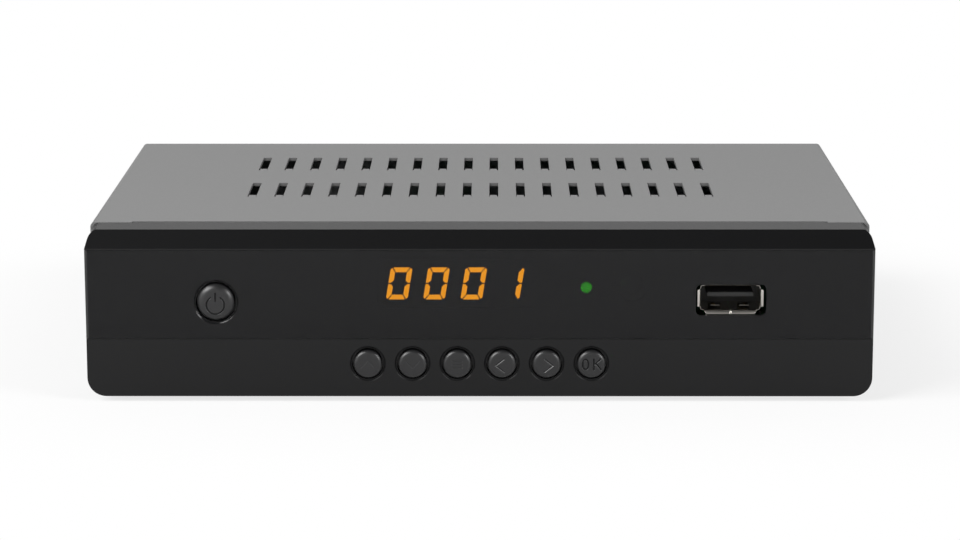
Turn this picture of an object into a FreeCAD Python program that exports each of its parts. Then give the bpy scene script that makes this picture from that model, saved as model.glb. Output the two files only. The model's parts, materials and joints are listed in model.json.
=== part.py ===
"""Satellite television receiver: a steel case with a moulded front panel, seven push buttons,
a four digit display, a front data socket, two boards, a tuner and the sockets on the rear wall.

Helpers and sub-parts work with X to the right, Y from the front face towards the rear and
Z up from the table. The export moves every node so that the origin lies under the middle
of the receiver. All lengths are in millimetres.
"""

import FreeCAD
import Part
import math
import os
from FreeCAD import Vector

# ---------------------------------------------------------------- front panel
FACE_WIDTH = 167.0
FACE_HEIGHT = 32.0
FOOT_CLEARANCE = 1.2
CORNER_RADIUS = 4.0
TOP_CORNER_RADIUS = 1.4
SIDE_DRAFT = 0.8
BEVEL_DEPTH = 4.0
BEVEL_RISE = 3.4
STRIP_RISE = 0.6
PANEL_DEPTH = 8.3
LOWER_WALL = 2.2
PANEL_WALL = 1.8
LIP_LENGTH = 3.0
LIP_WALL = 1.0
LIP_CLEARANCE = 0.1

# ---------------------------------------------------------------- smoked lens
LENS_THICKNESS = 1.5
LENS_SEAT_WALL = 1.5
LENS_BOTTOM = 12.5
LENS_TOP_RIM = 0.4
LENS_GAP = 0.05
LENS_BOTTOM_RIM = 0.6

# ---------------------------------------------------------------- case
CASE_DEPTH = 112.0
SHEET = 0.8
COVER_STEP = 0.45
COVER_PROUD = 0.1
COVER_BEND = 1.0
COVER_EAR = 8.9
EAR_GAP = 0.2
EDGE_SETBACK = 1.3
REAR_OVERHANG = 0.8
CHASSIS_FIT = 0.15
CHASSIS_START_GAP = 0.2
FLANGE_HEIGHT = 13.2
FLANGE_START = 14.0

# ---------------------------------------------------------------- cover vents
SLOT_COUNT = 18
SLOT_PITCH = 6.0
SLOT_WIDTH = 2.0
SLOT_LENGTH = 17.5
FRONT_SLOTS_Y = 48.0
REAR_SLOTS_Y = 82.5
TAB_LENGTH = 5.0
TAB_RADIUS = 22.0
TAB_INNER_GAP = 0.1
TAB_OUTER_GAP = 0.3

# ---------------------------------------------------------------- floor vents
FLOOR_SLOT_COUNT = 9
FLOOR_SLOT_PITCH = 8.0
FLOOR_SLOT_WIDTH = 2.5
FLOOR_SLOT_LENGTH = 22.0
FLOOR_SLOTS_Y = 58.0

# ---------------------------------------------------------------- feet
FOOT_RADIUS = 6.0
FOOT_EDGE = 0.8
FOOT_FROM_SIDE = 12.0
FOOT_FROM_FRONT = 20.0
FOOT_FROM_REAR = 15.0

# ---------------------------------------------------------------- push buttons
BUTTON_PROUD = 0.8
BUTTON_DOME = 0.25
BUTTON_EDGE = 0.35
BUTTON_FLANGE = 0.95
BUTTON_FLANGE_THICKNESS = 1.0
BUTTON_BACK_GAP = 0.1
BUTTON_STEM_RADIUS = 1.5
HOLE_STEP_DEPTH = 0.28
HOLE_LEDGE = 0.12
COLLAR_CLEARANCE = 0.2
COLLAR_WALL = 0.5
COLLAR_LENGTH = 3.0
BUTTON_TRAVEL = 0.3

POWER_CAP_RADIUS = 3.9
POWER_HOLE_RADIUS = 4.35
POWER_STEP_RADIUS = 4.78
POWER_FROM_LEFT = 27.64
POWER_BELOW_LENS_MIDDLE = 1.55

KEY_CAP_RADIUS = 2.95
KEY_HOLE_RADIUS = 3.4
KEY_STEP_RADIUS = 3.85
KEY_PITCH = 9.5
KEY_HEIGHT = 7.1
KEY_NAMES = ("up", "down", "menu", "left", "right", "ok")

# ---------------------------------------------------------------- tactile switches
SWITCH_SIZE = 6.0
SWITCH_HEIGHT = 3.5
PLUNGER_RADIUS = 1.75
PLUNGER_PROUD = 2.0
PLUNGER_CLEARANCE = 0.1
PLUNGER_END_GAP = 0.4
PLUNGER_BORE_DEPTH = 1.5

# ---------------------------------------------------------------- display
DIGIT_COUNT = 4
DIGIT_PITCH = 7.91
DIGIT_HEIGHT = 6.95
DIGIT_WIDTH = 4.6
DIGIT_SLANT_DEG = 9.3
SEGMENT_STROKE = 1.05
SEGMENT_GAP = 0.13
SEGMENT_CORNER = 0.42
SEGMENT_DEPTH = 0.3
DISPLAY_X = -5.18
DISPLAY_ABOVE_LENS_MIDDLE = 2.1
DISPLAY_WIDTH = 32.5
DISPLAY_HEIGHT = 10.2
DISPLAY_DEPTH = 6.1
DISPLAY_LENS_GAP = 0.3
WINDOW_CLEARANCE = 0.3
SPACER_MARGIN = 1.2
LIT_SEGMENTS = ("abcdef", "abcdef", "abcdef", "bc")

# ---------------------------------------------------------------- status light
LIGHT_X = 22.64
LIGHT_ABOVE_LENS_MIDDLE = 1.25
LIGHT_PIPE_RADIUS = 1.1
LIGHT_PIPE_CLEARANCE = 0.1
LIGHT_PIPE_FLANGE_RADIUS = 2.2
LIGHT_PIPE_FLANGE = 1.0
LED_WIDTH = 3.2
LED_HEIGHT = 1.8
LED_THICKNESS = 1.1
LED_GAP = 0.2

# ---------------------------------------------------------------- remote control eye
EYE_X = 32.5
EYE_ABOVE_LENS_MIDDLE = 1.15
EYE_WIDTH = 5.6
EYE_HEIGHT = 6.9
EYE_THICKNESS = 4.4
EYE_DOME_RADIUS = 2.5
EYE_HOLE_RADIUS = 3.0

# ---------------------------------------------------------------- front data socket
USB_FROM_RIGHT = 30.25
USB_BELOW_LENS_MIDDLE = 1.15
USB_OPENING_WIDTH = 12.5
USB_OPENING_HEIGHT = 5.12
USB_WALL = 0.3
USB_CORNER = 0.7
USB_LIP_START = 2.8
USB_LIP_RADIUS = 0.9
USB_LIP_ANGLE_DEG = 68.0
USB_SIDE_LIP = 3.9
USB_LONG_LIP = 10.9
USB_CUTOUT_SIDE = 0.9
USB_CUTOUT_ABOVE = 0.51
USB_LIP_ROOM = 0.4
USB_CUTOUT_CORNER = 1.2
USB_TONGUE_WIDTH = 10.0
USB_TONGUE_THICKNESS = 1.3
USB_TONGUE_RECESS = 3.3
USB_TONGUE_OFFSET = 0.7
USB_TONGUE_EDGE = 0.2
USB_BLOCK_DEPTH = 3.4
USB_CONTACT_RECESS = 1.0
USB_CONTACT_WIDTH = 1.0
USB_CONTACT_THICKNESS = 0.12
USB_CONTACT_X = (-3.5, -1.0, 1.0, 3.5)
USB_SPRING_WIDTH = 2.6
USB_SPRING_RECESS = 1.4
USB_SPRING_X = 3.1

# ---------------------------------------------------------------- front board
FRONT_BOARD_Y = 12.0
BOARD_THICKNESS = 1.6
FRONT_BOARD_SIDE = 19.5
FRONT_BOARD_FLOOR_GAP = 1.2
FRONT_BOARD_ROOF_GAP = 2.0
BOSS_RADIUS = 2.5
BOSS_FROM_BOARD_SIDE = 3.0
BOSS_FROM_BOARD_EDGE = 3.2
THREAD_CLEARANCE = 0.05
HOLE_CLEARANCE = 0.15

# ---------------------------------------------------------------- panel tabs on the chassis
PANEL_TAB_FROM_SIDE = 9.75
PANEL_TAB_WIDTH = 12.0
PANEL_TAB_HEIGHT = 10.0
PANEL_SCREW_HEIGHT = 5.4
PANEL_BOSS_RADIUS = 2.8

# ---------------------------------------------------------------- screws
SMALL_SCREW_RADIUS = 1.25
SMALL_HEAD_RADIUS = 2.3
SMALL_HEAD_HEIGHT = 1.5
COVER_SCREW_RADIUS = 1.5
COVER_HEAD_RADIUS = 2.8
COVER_HEAD_HEIGHT = 1.4
COVER_SCREW_LENGTH = 4.6
COVER_SCREW_HEIGHT = 6.7
COVER_SCREW_FRONT = 30.0
COVER_SCREW_REAR = 17.0
PANEL_SCREW_LENGTH = 5.6
BOARD_SCREW_LENGTH = 4.6
RECESS_WIDTH = 0.5
RECESS_DEPTH = 0.7

# ---------------------------------------------------------------- main board
STANDOFF_HEIGHT = 5.4
STANDOFF_RADIUS = 2.6
MAIN_BOARD_SIDE_GAP = 6.8
MAIN_BOARD_START = 20.0
MAIN_BOARD_REAR_GAP = 0.5
STANDOFF_INSET = 4.0
STANDOFF_END_INSET = 5.5
SOCKET_ROW_INSET = 7.0

# ---------------------------------------------------------------- aerial sockets and tuner
AERIAL_PITCH = 18.0
AERIAL_HEIGHT = 6.5
AERIAL_THREAD_RADIUS = 4.7625
AERIAL_THREAD_LENGTH = 8.0
AERIAL_NECK_RADIUS = 4.6
AERIAL_BORE_RADIUS = 3.6
AERIAL_INSULATOR_RECESS = 0.5
AERIAL_CONTACT_RADIUS = 1.1
AERIAL_CONTACT_BORE = 0.5
WASHER_RADIUS = 7.0
WASHER_THICKNESS = 0.8
NUT_FLATS = 11.1
NUT_THICKNESS = 2.6
NUT_CLEARANCE = 0.05
TUNER_MARGIN = 10.0
TUNER_DEPTH = 26.0
TUNER_HEIGHT = 13.0
TUNER_SHEET = 0.6
TUNER_WALL_GAP = 0.1
LID_SKIRT = 3.0
LID_BARREL_GAP = 0.3

# ---------------------------------------------------------------- high definition socket
HDMI_WIDTH = 15.0
HDMI_HEIGHT = 5.5
HDMI_WALL = 0.4
HDMI_DEPTH = 11.4
HDMI_PROUD = 0.5
HDMI_BEVEL_X = 2.0
HDMI_BEVEL_Z = 1.5
HDMI_TONGUE_WIDTH = 11.0
HDMI_TONGUE_THICKNESS = 1.2
HDMI_TONGUE_RECESS = 1.0
HDMI_BLOCK_DEPTH = 3.5
HDMI_HOLE_MARGIN = 0.4

# ---------------------------------------------------------------- phono sockets
PHONO_PITCH = 14.0
PHONO_NAMES = ("video", "left_audio", "right_audio", "digital_audio")
PHONO_HEIGHT = 7.0
PHONO_SLEEVE_RADIUS = 4.15
PHONO_SLEEVE_BORE = 3.65
PHONO_SLEEVE_LENGTH = 9.0
PHONO_INSERT_RECESS = 0.4
PHONO_PIN_BORE = 1.65
PHONO_PIN_BORE_DEPTH = 8.0
PHONO_BLOCK_HEIGHT = 12.8
PHONO_BLOCK_DEPTH = 10.0
PHONO_BLOCK_MARGIN = 7.0
PHONO_COLLAR_RADIUS = 4.4
PHONO_HOLE_CLEARANCE = 0.2

# ---------------------------------------------------------------- supply socket
SUPPLY_HEIGHT = 6.5
SUPPLY_BODY_WIDTH = 9.0
SUPPLY_BODY_HEIGHT = 11.0
SUPPLY_BODY_DEPTH = 13.0
SUPPLY_BARREL_RADIUS = 4.2
SUPPLY_BARREL_LENGTH = 1.3
SUPPLY_BORE_RADIUS = 3.15
SUPPLY_BORE_DEPTH = 10.0
SUPPLY_PIN_RADIUS = 1.0
SUPPLY_PIN_RECESS = 1.0
SUPPLY_HOLE_CLEARANCE = 0.3

# ---------------------------------------------------------------- parts on the main board
CHIP_X = 12.0
CHIP_Y = 62.0
CHIP_SIZE = 21.0
CHIP_THICKNESS = 1.6
HEATSINK_SIZE = 28.0
HEATSINK_BASE = 2.0
HEATSINK_HEIGHT = 10.0
FIN_COUNT = 7
FIN_THICKNESS = 1.2
MEMORY_X = -18.0
MEMORY_WIDTH = 9.0
MEMORY_LENGTH = 13.0
MEMORY_THICKNESS = 1.1
MEMORY_PITCH = 17.0
CAPACITOR_FROM_SIDE = 25.0
CAPACITOR_Y = 50.0
CAPACITOR_PITCH = 11.5
CAPACITOR_RADII = (4.0, 4.0, 3.15)
CAPACITOR_HEIGHTS = (12.0, 12.0, 7.5)
INDUCTOR_FROM_SIDE = 13.0
INDUCTOR_SIZE = 7.0
INDUCTOR_HEIGHT = 4.0
INDUCTOR_CORE_RADIUS = 2.6
INDUCTOR_CORE_PROUD = 0.3

# ---------------------------------------------------------------- ribbon between the boards
HEADER_WIDTH = 18.0
HEADER_THICKNESS = 5.8
HEADER_DEPTH = 6.0
HEADER_X = -30.0
MAIN_HEADER_HEIGHT = 8.0
RIBBON_WIDTH = 15.2
RIBBON_THICKNESS = 0.9
RIBBON_RADIUS = 9.3

# ---------------------------------------------------------------- places that follow from the sizes
FACE_HALF = FACE_WIDTH / 2
PANEL_BOTTOM = FOOT_CLEARANCE
CREASE_Z = PANEL_BOTTOM + FACE_HEIGHT
BAND_TOP_Z = CREASE_Z + BEVEL_RISE
STRIP_TOP_Z = BAND_TOP_Z + STRIP_RISE
COVER_TOP = STRIP_TOP_Z + COVER_PROUD
CASE_BOTTOM = PANEL_BOTTOM + SIDE_DRAFT
COVER_HALF = FACE_HALF - SIDE_DRAFT + COVER_STEP
CHASSIS_HALF = COVER_HALF - SHEET - CHASSIS_FIT
FLOOR_TOP = CASE_BOTTOM + SHEET
CHASSIS_START = PANEL_DEPTH + CHASSIS_START_GAP
REAR_OUTER = CASE_DEPTH - REAR_OVERHANG
REAR_INNER = REAR_OUTER - SHEET

LENS_BOTTOM_Z = PANEL_BOTTOM + LENS_BOTTOM
LENS_TOP_Z = CREASE_Z - LENS_TOP_RIM
LENS_MIDDLE_Z = (LENS_BOTTOM_Z + LENS_TOP_Z) / 2
SEAT_BACK = LENS_THICKNESS + LENS_GAP + LENS_SEAT_WALL
SEAT_BOTTOM_Z = LENS_BOTTOM_Z - LENS_BOTTOM_RIM

FRONT_BOARD_HALF = FACE_HALF - FRONT_BOARD_SIDE
FRONT_BOARD_BOTTOM = FLOOR_TOP + FRONT_BOARD_FLOOR_GAP
FRONT_BOARD_TOP = COVER_TOP - SHEET - LIP_WALL - FRONT_BOARD_ROOF_GAP
FRONT_BOARD_BACK = FRONT_BOARD_Y + BOARD_THICKNESS
SWITCH_FACE = FRONT_BOARD_Y - SWITCH_HEIGHT
PLUNGER_FACE = SWITCH_FACE - PLUNGER_PROUD

POWER_X = POWER_FROM_LEFT - FACE_HALF
POWER_Z = LENS_MIDDLE_Z - POWER_BELOW_LENS_MIDDLE
KEY_Z = PANEL_BOTTOM + KEY_HEIGHT
DISPLAY_Z = LENS_MIDDLE_Z + DISPLAY_ABOVE_LENS_MIDDLE
DISPLAY_FACE = LENS_THICKNESS + DISPLAY_LENS_GAP
DISPLAY_BACK = DISPLAY_FACE + DISPLAY_DEPTH
LIGHT_Z = LENS_MIDDLE_Z + LIGHT_ABOVE_LENS_MIDDLE
EYE_Z = LENS_MIDDLE_Z + EYE_ABOVE_LENS_MIDDLE
USB_X = FACE_HALF - USB_FROM_RIGHT
USB_Z = LENS_MIDDLE_Z - USB_BELOW_LENS_MIDDLE
USB_HALF_WIDTH = USB_OPENING_WIDTH / 2
USB_HALF_HEIGHT = USB_OPENING_HEIGHT / 2

MAIN_BOARD_HALF = CHASSIS_HALF - MAIN_BOARD_SIDE_GAP
MAIN_BOARD_Z = FLOOR_TOP + STANDOFF_HEIGHT
MAIN_BOARD_TOP = MAIN_BOARD_Z + BOARD_THICKNESS
MAIN_BOARD_END = REAR_INNER - MAIN_BOARD_REAR_GAP

CAPACITOR_X = MAIN_BOARD_HALF - CAPACITOR_FROM_SIDE
INDUCTOR_X = MAIN_BOARD_HALF - INDUCTOR_FROM_SIDE

# The tuner, the high definition socket, the phono block and the supply socket share the rear
# edge of the main board, with the same gap between neighbours.
TUNER_HALF = AERIAL_PITCH / 2 + TUNER_MARGIN
PHONO_BLOCK_WIDTH = PHONO_PITCH * (len(PHONO_NAMES) - 1) + 2 * PHONO_BLOCK_MARGIN
SOCKET_ROW_HALF = MAIN_BOARD_HALF - SOCKET_ROW_INSET
SOCKETS_WIDTH = 2 * TUNER_HALF + HDMI_WIDTH + PHONO_BLOCK_WIDTH + SUPPLY_BODY_WIDTH
SOCKET_GAP = (2 * SOCKET_ROW_HALF - SOCKETS_WIDTH) / 3
AERIAL_X = TUNER_HALF - SOCKET_ROW_HALF
HDMI_X = AERIAL_X + TUNER_HALF + SOCKET_GAP + HDMI_WIDTH / 2
PHONO_BLOCK_START = HDMI_X + HDMI_WIDTH / 2 + SOCKET_GAP
SUPPLY_X = SOCKET_ROW_HALF - SUPPLY_BODY_WIDTH / 2

AERIAL_Z = MAIN_BOARD_TOP + AERIAL_HEIGHT
AERIAL_PLACES = (AERIAL_X - AERIAL_PITCH / 2, AERIAL_X + AERIAL_PITCH / 2)
TUNER_BACK = REAR_INNER - TUNER_SHEET - TUNER_WALL_GAP
TUNER_FRONT = TUNER_BACK - TUNER_DEPTH
TUNER_TOP = MAIN_BOARD_TOP + TUNER_HEIGHT
NUT_BACK = REAR_OUTER + WASHER_THICKNESS + NUT_THICKNESS
THREAD_END = NUT_BACK + AERIAL_THREAD_LENGTH

HDMI_Z = MAIN_BOARD_TOP + HDMI_HEIGHT / 2
PHONO_Z = MAIN_BOARD_TOP + PHONO_HEIGHT
PHONO_END = REAR_OUTER + PHONO_SLEEVE_LENGTH
SUPPLY_Z = MAIN_BOARD_TOP + SUPPLY_HEIGHT
HEADER_BACK = FRONT_BOARD_BACK + HEADER_DEPTH
MAIN_HEADER_TOP = MAIN_BOARD_TOP + MAIN_HEADER_HEIGHT
RIBBON_START_Z = MAIN_HEADER_TOP + RIBBON_RADIUS
RIBBON_END_Y = HEADER_BACK + RIBBON_RADIUS

SHIFT_Y = (BUTTON_PROUD - THREAD_END) / 2


# ================================================================ basic shapes
def box(x0, x1, y0, y1, z0, z1):
    """Block between two opposite corners."""
    return Part.makeBox(x1 - x0, y1 - y0, z1 - z0, Vector(x0, y0, z0))


def centred_box(x, half, y0, y1, z0, z1):
    """Block that reaches as far to the left of x as to the right."""
    return box(x - half, x + half, y0, y1, z0, z1)


def rod_x(radius, y, z, x0, x1):
    return Part.makeCylinder(radius, x1 - x0, Vector(x0, y, z), Vector(1, 0, 0))


def rod_y(radius, x, z, y0, y1):
    return Part.makeCylinder(radius, y1 - y0, Vector(x, y0, z), Vector(0, 1, 0))


def rod_z(radius, x, y, z0, z1):
    return Part.makeCylinder(radius, z1 - z0, Vector(x, y, z0), Vector(0, 0, 1))


def tube_y(outer, inner, x, z, y0, y1):
    return rod_y(outer, x, z, y0, y1).cut(rod_y(inner, x, z, y0 - 1, y1 + 1))


def funnel_y(front_radius, radius, x, z, depth):
    """Shallow step in the front face, which opens towards the front."""
    return Part.makeCone(front_radius, radius, depth, Vector(x, 0, z), Vector(0, 1, 0))


def polygon_face(points):
    return Part.Face(Part.makePolygon(points + points[:1]))


def prism_x(outline, x0, x1):
    """Outline of (y, z) points drawn out along X."""
    points = [Vector(x0, y, z) for y, z in outline]
    return polygon_face(points).extrude(Vector(x1 - x0, 0, 0))


def prism_y(outline, y0, y1):
    """Outline of (x, z) points drawn out along Y."""
    points = [Vector(x, y0, z) for x, z in outline]
    return polygon_face(points).extrude(Vector(0, y1 - y0, 0))


def arc_edge(start, through, end):
    return Part.Arc(start, through, end).toShape()


def rounded_bar_y(x, z, width, height, radius, y0, y1):
    """Bar along Y whose section is a rectangle with round corners."""
    bar = box(x - width / 2, x + width / 2, y0, y1, z - height / 2, z + height / 2)
    along = [e for e in bar.Edges if abs(e.BoundBox.YLength - (y1 - y0)) < 1e-6]
    return bar.makeFillet(radius, along)


def fused(shapes):
    """One solid from shapes that meet."""
    return shapes[0].multiFuse(shapes[1:]).removeSplitter()


def minus(shape, cutters):
    return shape.cut(Part.makeCompound(cutters))


def turned_y(edges, x, z):
    """Solid turned about a line along Y, from edges drawn as (radius, y) in the XY plane."""
    face = Part.Face(Part.Wire(edges))
    solid = face.revolve(Vector(0, 0, 0), Vector(0, 1, 0), 360)
    solid.translate(Vector(x, 0, z))
    return solid


def line(start, end):
    return Part.LineSegment(start, end).toShape()


# ================================================================ front panel and lens
def face_outline(inset, y):
    """Front outline drawn in by an inset: round lower corners, open height above the roof."""
    half = FACE_HALF - inset
    low = PANEL_BOTTOM + inset
    high = COVER_TOP + BEVEL_RISE
    radius = CORNER_RADIUS - inset
    bend = radius * (1 - math.sqrt(0.5))
    left_top = Vector(-half, y, high)
    left_low = Vector(-half, y, low + radius)
    low_left = Vector(-half + radius, y, low)
    low_right = Vector(half - radius, y, low)
    right_low = Vector(half, y, low + radius)
    right_top = Vector(half, y, high)
    return Part.Wire([
        line(left_top, left_low),
        arc_edge(left_low, Vector(-half + bend, y, low + bend), low_left),
        line(low_left, low_right),
        arc_edge(low_right, Vector(half - bend, y, low + bend), right_low),
        line(right_low, right_top),
        line(right_top, left_top),
    ])


def panel_envelope():
    """Outside of the panel and the lens together: drafted nose, bevelled band and top strip."""
    nose = Part.makeLoft([face_outline(0, 0), face_outline(SIDE_DRAFT, BEVEL_DEPTH)], True, True)
    rear_outline = Part.Face(face_outline(SIDE_DRAFT, BEVEL_DEPTH))
    body = rear_outline.extrude(Vector(0, PANEL_DEPTH - BEVEL_DEPTH, 0))
    strip_slope = STRIP_RISE / (PANEL_DEPTH - BEVEL_DEPTH)
    under_strip = [
        (0, 0),
        (0, BAND_TOP_Z - strip_slope * BEVEL_DEPTH),
        (PANEL_DEPTH, STRIP_TOP_Z),
        (PANEL_DEPTH, 0),
    ]
    block = fused([nose, body]).common(prism_x(under_strip, -FACE_WIDTH, FACE_WIDTH))
    strip_ends = [
        e for e in block.Edges
        if e.BoundBox.YLength > 1 and e.BoundBox.XLength < 2 and e.BoundBox.ZMin > CREASE_Z + 1
    ]
    block = block.makeFillet(TOP_CORNER_RADIUS, strip_ends)
    under_band = [
        (0, 0),
        (0, CREASE_Z),
        (BEVEL_DEPTH, BAND_TOP_Z),
        (PANEL_DEPTH, STRIP_TOP_Z + 1),
        (PANEL_DEPTH, 0),
    ]
    return block.common(prism_x(under_band, -FACE_WIDTH, FACE_WIDTH))


def panel_hollow():
    """Space inside the panel, open to the rear."""
    half = FACE_HALF - SIDE_DRAFT - PANEL_WALL
    low = CASE_BOTTOM + PANEL_WALL
    rear = PANEL_DEPTH + 1
    roof = COVER_TOP - SHEET - LIP_WALL - LIP_CLEARANCE
    slope = BEVEL_RISE / BEVEL_DEPTH
    wall_up_slope = PANEL_WALL * math.hypot(1, slope)
    brow = CREASE_Z + slope * SEAT_BACK - wall_up_slope
    meet = SEAT_BACK + max(roof - brow, 0) / slope
    upper = [
        (SEAT_BACK, SEAT_BOTTOM_Z),
        (SEAT_BACK, min(brow, roof)),
        (meet, roof),
        (rear, roof),
        (rear, SEAT_BOTTOM_Z),
    ]
    lower = box(-half, half, LOWER_WALL, rear, low, SEAT_BOTTOM_Z)
    return fused([prism_x(upper, -half, half), lower])


def panel_lip():
    """Rim behind the panel that goes under the cover: a roof strip and two side tongues."""
    half = COVER_HALF - SHEET - LIP_CLEARANCE
    roof = COVER_TOP - SHEET - LIP_CLEARANCE
    front = PANEL_DEPTH - PANEL_WALL
    rear = PANEL_DEPTH + LIP_LENGTH
    low = PANEL_BOTTOM + LENS_BOTTOM
    outside = box(-half, half, front, rear, low, roof)
    inside = box(-half + LIP_WALL, half - LIP_WALL, front - 1, rear + 1, low - 1, roof - LIP_WALL)
    return outside.cut(inside)


def key_places():
    """Name and X of each of the six small buttons."""
    first = -KEY_PITCH * (len(KEY_NAMES) - 1) / 2
    return [(name, first + KEY_PITCH * i) for i, name in enumerate(KEY_NAMES)]


def collar(x, z, cap_radius, wall_back):
    inner = cap_radius + BUTTON_FLANGE + COLLAR_CLEARANCE
    return tube_y(inner + COLLAR_WALL, inner, x, z, wall_back - 0.5, wall_back + COLLAR_LENGTH)


def board_boss_places():
    """X, Z and wall depth of the bosses that carry the front board."""
    x = FRONT_BOARD_HALF - BOSS_FROM_BOARD_SIDE
    low = FRONT_BOARD_BOTTOM + BOSS_FROM_BOARD_EDGE
    high = FRONT_BOARD_TOP - BOSS_FROM_BOARD_EDGE
    return [(side * x, z, wall) for side in (-1, 1) for z, wall in ((low, LOWER_WALL), (high, SEAT_BACK))]


def panel_screw_places():
    x = CHASSIS_HALF - PANEL_TAB_FROM_SIDE
    z = FLOOR_TOP + PANEL_SCREW_HEIGHT
    return [(side * x, z) for side in (-1, 1)]


def usb_cutout(y0, y1, room=0):
    """Hole for the front socket; the wall behind the lens leaves more room, for the socket's lips."""
    width = USB_OPENING_WIDTH + 2 * (USB_WALL + USB_CUTOUT_SIDE + room)
    height = USB_OPENING_HEIGHT + 2 * (USB_WALL + USB_CUTOUT_ABOVE + room)
    return rounded_bar_y(USB_X, USB_Z, width, height, USB_CUTOUT_CORNER, y0, y1)


def front_panel():
    lens_room = box(
        -FACE_WIDTH, FACE_WIDTH, -1, LENS_THICKNESS + LENS_GAP,
        LENS_BOTTOM_Z - LENS_GAP, LENS_TOP_Z + LENS_GAP,
    )
    shell = panel_envelope().cut(panel_hollow()).cut(lens_room)
    additions = [shell, panel_lip()]
    additions.append(collar(POWER_X, POWER_Z, POWER_CAP_RADIUS, SEAT_BACK))
    additions += [collar(x, KEY_Z, KEY_CAP_RADIUS, LOWER_WALL) for _, x in key_places()]
    for x, z, wall in board_boss_places():
        additions.append(rod_y(BOSS_RADIUS, x, z, wall - 0.5, FRONT_BOARD_Y))
    for x, z in panel_screw_places():
        additions.append(rod_y(PANEL_BOSS_RADIUS, x, z, LOWER_WALL - 0.5, CHASSIS_START))
    panel = fused(additions)
    cuts = [rod_y(POWER_HOLE_RADIUS, POWER_X, POWER_Z, -1, SEAT_BACK)]
    for _, x in key_places():
        cuts.append(rod_y(KEY_HOLE_RADIUS, x, KEY_Z, -1, LOWER_WALL))
        cuts.append(funnel_y(KEY_STEP_RADIUS, KEY_HOLE_RADIUS + HOLE_LEDGE, x, KEY_Z, HOLE_STEP_DEPTH))
        reach = KEY_CAP_RADIUS + BUTTON_FLANGE + COLLAR_CLEARANCE
        cuts.append(rod_y(reach, x, KEY_Z, LOWER_WALL, LOWER_WALL + COLLAR_LENGTH))
    cuts.append(usb_cutout(-1, SEAT_BACK + 1, USB_LIP_ROOM))
    window_half = DISPLAY_WIDTH / 2 + WINDOW_CLEARANCE
    window_rise = DISPLAY_HEIGHT / 2 + WINDOW_CLEARANCE
    cuts.append(centred_box(
        DISPLAY_X, window_half, -1, SEAT_BACK + 1, DISPLAY_Z - window_rise, DISPLAY_Z + window_rise,
    ))
    pipe_hole = LIGHT_PIPE_RADIUS + LIGHT_PIPE_CLEARANCE
    cuts.append(rod_y(pipe_hole, LIGHT_X, LIGHT_Z, -1, SEAT_BACK + 1))
    cuts.append(rod_y(EYE_HOLE_RADIUS, EYE_X, EYE_Z, -1, SEAT_BACK + 1))
    pilot = SMALL_SCREW_RADIUS + THREAD_CLEARANCE
    for x, z, wall in board_boss_places():
        cuts.append(rod_y(pilot, x, z, wall + 0.5, FRONT_BOARD_Y + 1))
    for x, z in panel_screw_places():
        cuts.append(rod_y(pilot, x, z, LOWER_WALL, CHASSIS_START + 1))
    return [minus(panel, cuts)]


def front_lens():
    """Smoked strip set flush into the face, over the display, the light and the remote eye."""
    strip = box(-FACE_WIDTH, FACE_WIDTH, -1, LENS_THICKNESS, LENS_BOTTOM_Z, LENS_TOP_Z)
    lens = panel_envelope().common(strip)
    return [minus(lens, [
        rod_y(POWER_HOLE_RADIUS, POWER_X, POWER_Z, -1, LENS_THICKNESS + 1),
        funnel_y(POWER_STEP_RADIUS, POWER_HOLE_RADIUS + HOLE_LEDGE, POWER_X, POWER_Z, HOLE_STEP_DEPTH),
        usb_cutout(-1, LENS_THICKNESS + 1),
    ])]


# ================================================================ steel case
def slot_places():
    """Centre X of every vent slot in a row."""
    first = -SLOT_PITCH * (SLOT_COUNT - 1) / 2
    return [first + SLOT_PITCH * i for i in range(SLOT_COUNT)]


def vent_tab(x, slot_front):
    """Tongue at the front end of a slot, bent down along an arc, nearer to the slot's inner side."""
    outer = 1 if x > 0 else -1
    inner_edge = x - outer * (SLOT_WIDTH / 2 - TAB_INNER_GAP)
    outer_edge = x + outer * (SLOT_WIDTH / 2 - TAB_OUTER_GAP)
    turn = math.asin(TAB_LENGTH / TAB_RADIUS)
    centre_z = COVER_TOP - TAB_RADIUS

    def on_arc(radius, angle):
        return Vector(
            min(inner_edge, outer_edge),
            slot_front + radius * math.sin(angle),
            centre_z + radius * math.cos(angle),
        )

    under = TAB_RADIUS - SHEET
    section = Part.Wire([
        arc_edge(on_arc(TAB_RADIUS, 0), on_arc(TAB_RADIUS, turn / 2), on_arc(TAB_RADIUS, turn)),
        line(on_arc(TAB_RADIUS, turn), on_arc(under, turn)),
        arc_edge(on_arc(under, turn), on_arc(under, turn / 2), on_arc(under, 0)),
        line(on_arc(under, 0), on_arc(TAB_RADIUS, 0)),
    ])
    return Part.Face(section).extrude(Vector(abs(outer_edge - inner_edge), 0, 0))


def cover_screw_places():
    """Y and Z of the screws in each side of the cover."""
    z = CASE_BOTTOM + COVER_SCREW_HEIGHT
    return [(COVER_SCREW_FRONT, z), (CASE_DEPTH - COVER_SCREW_REAR, z)]


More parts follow.
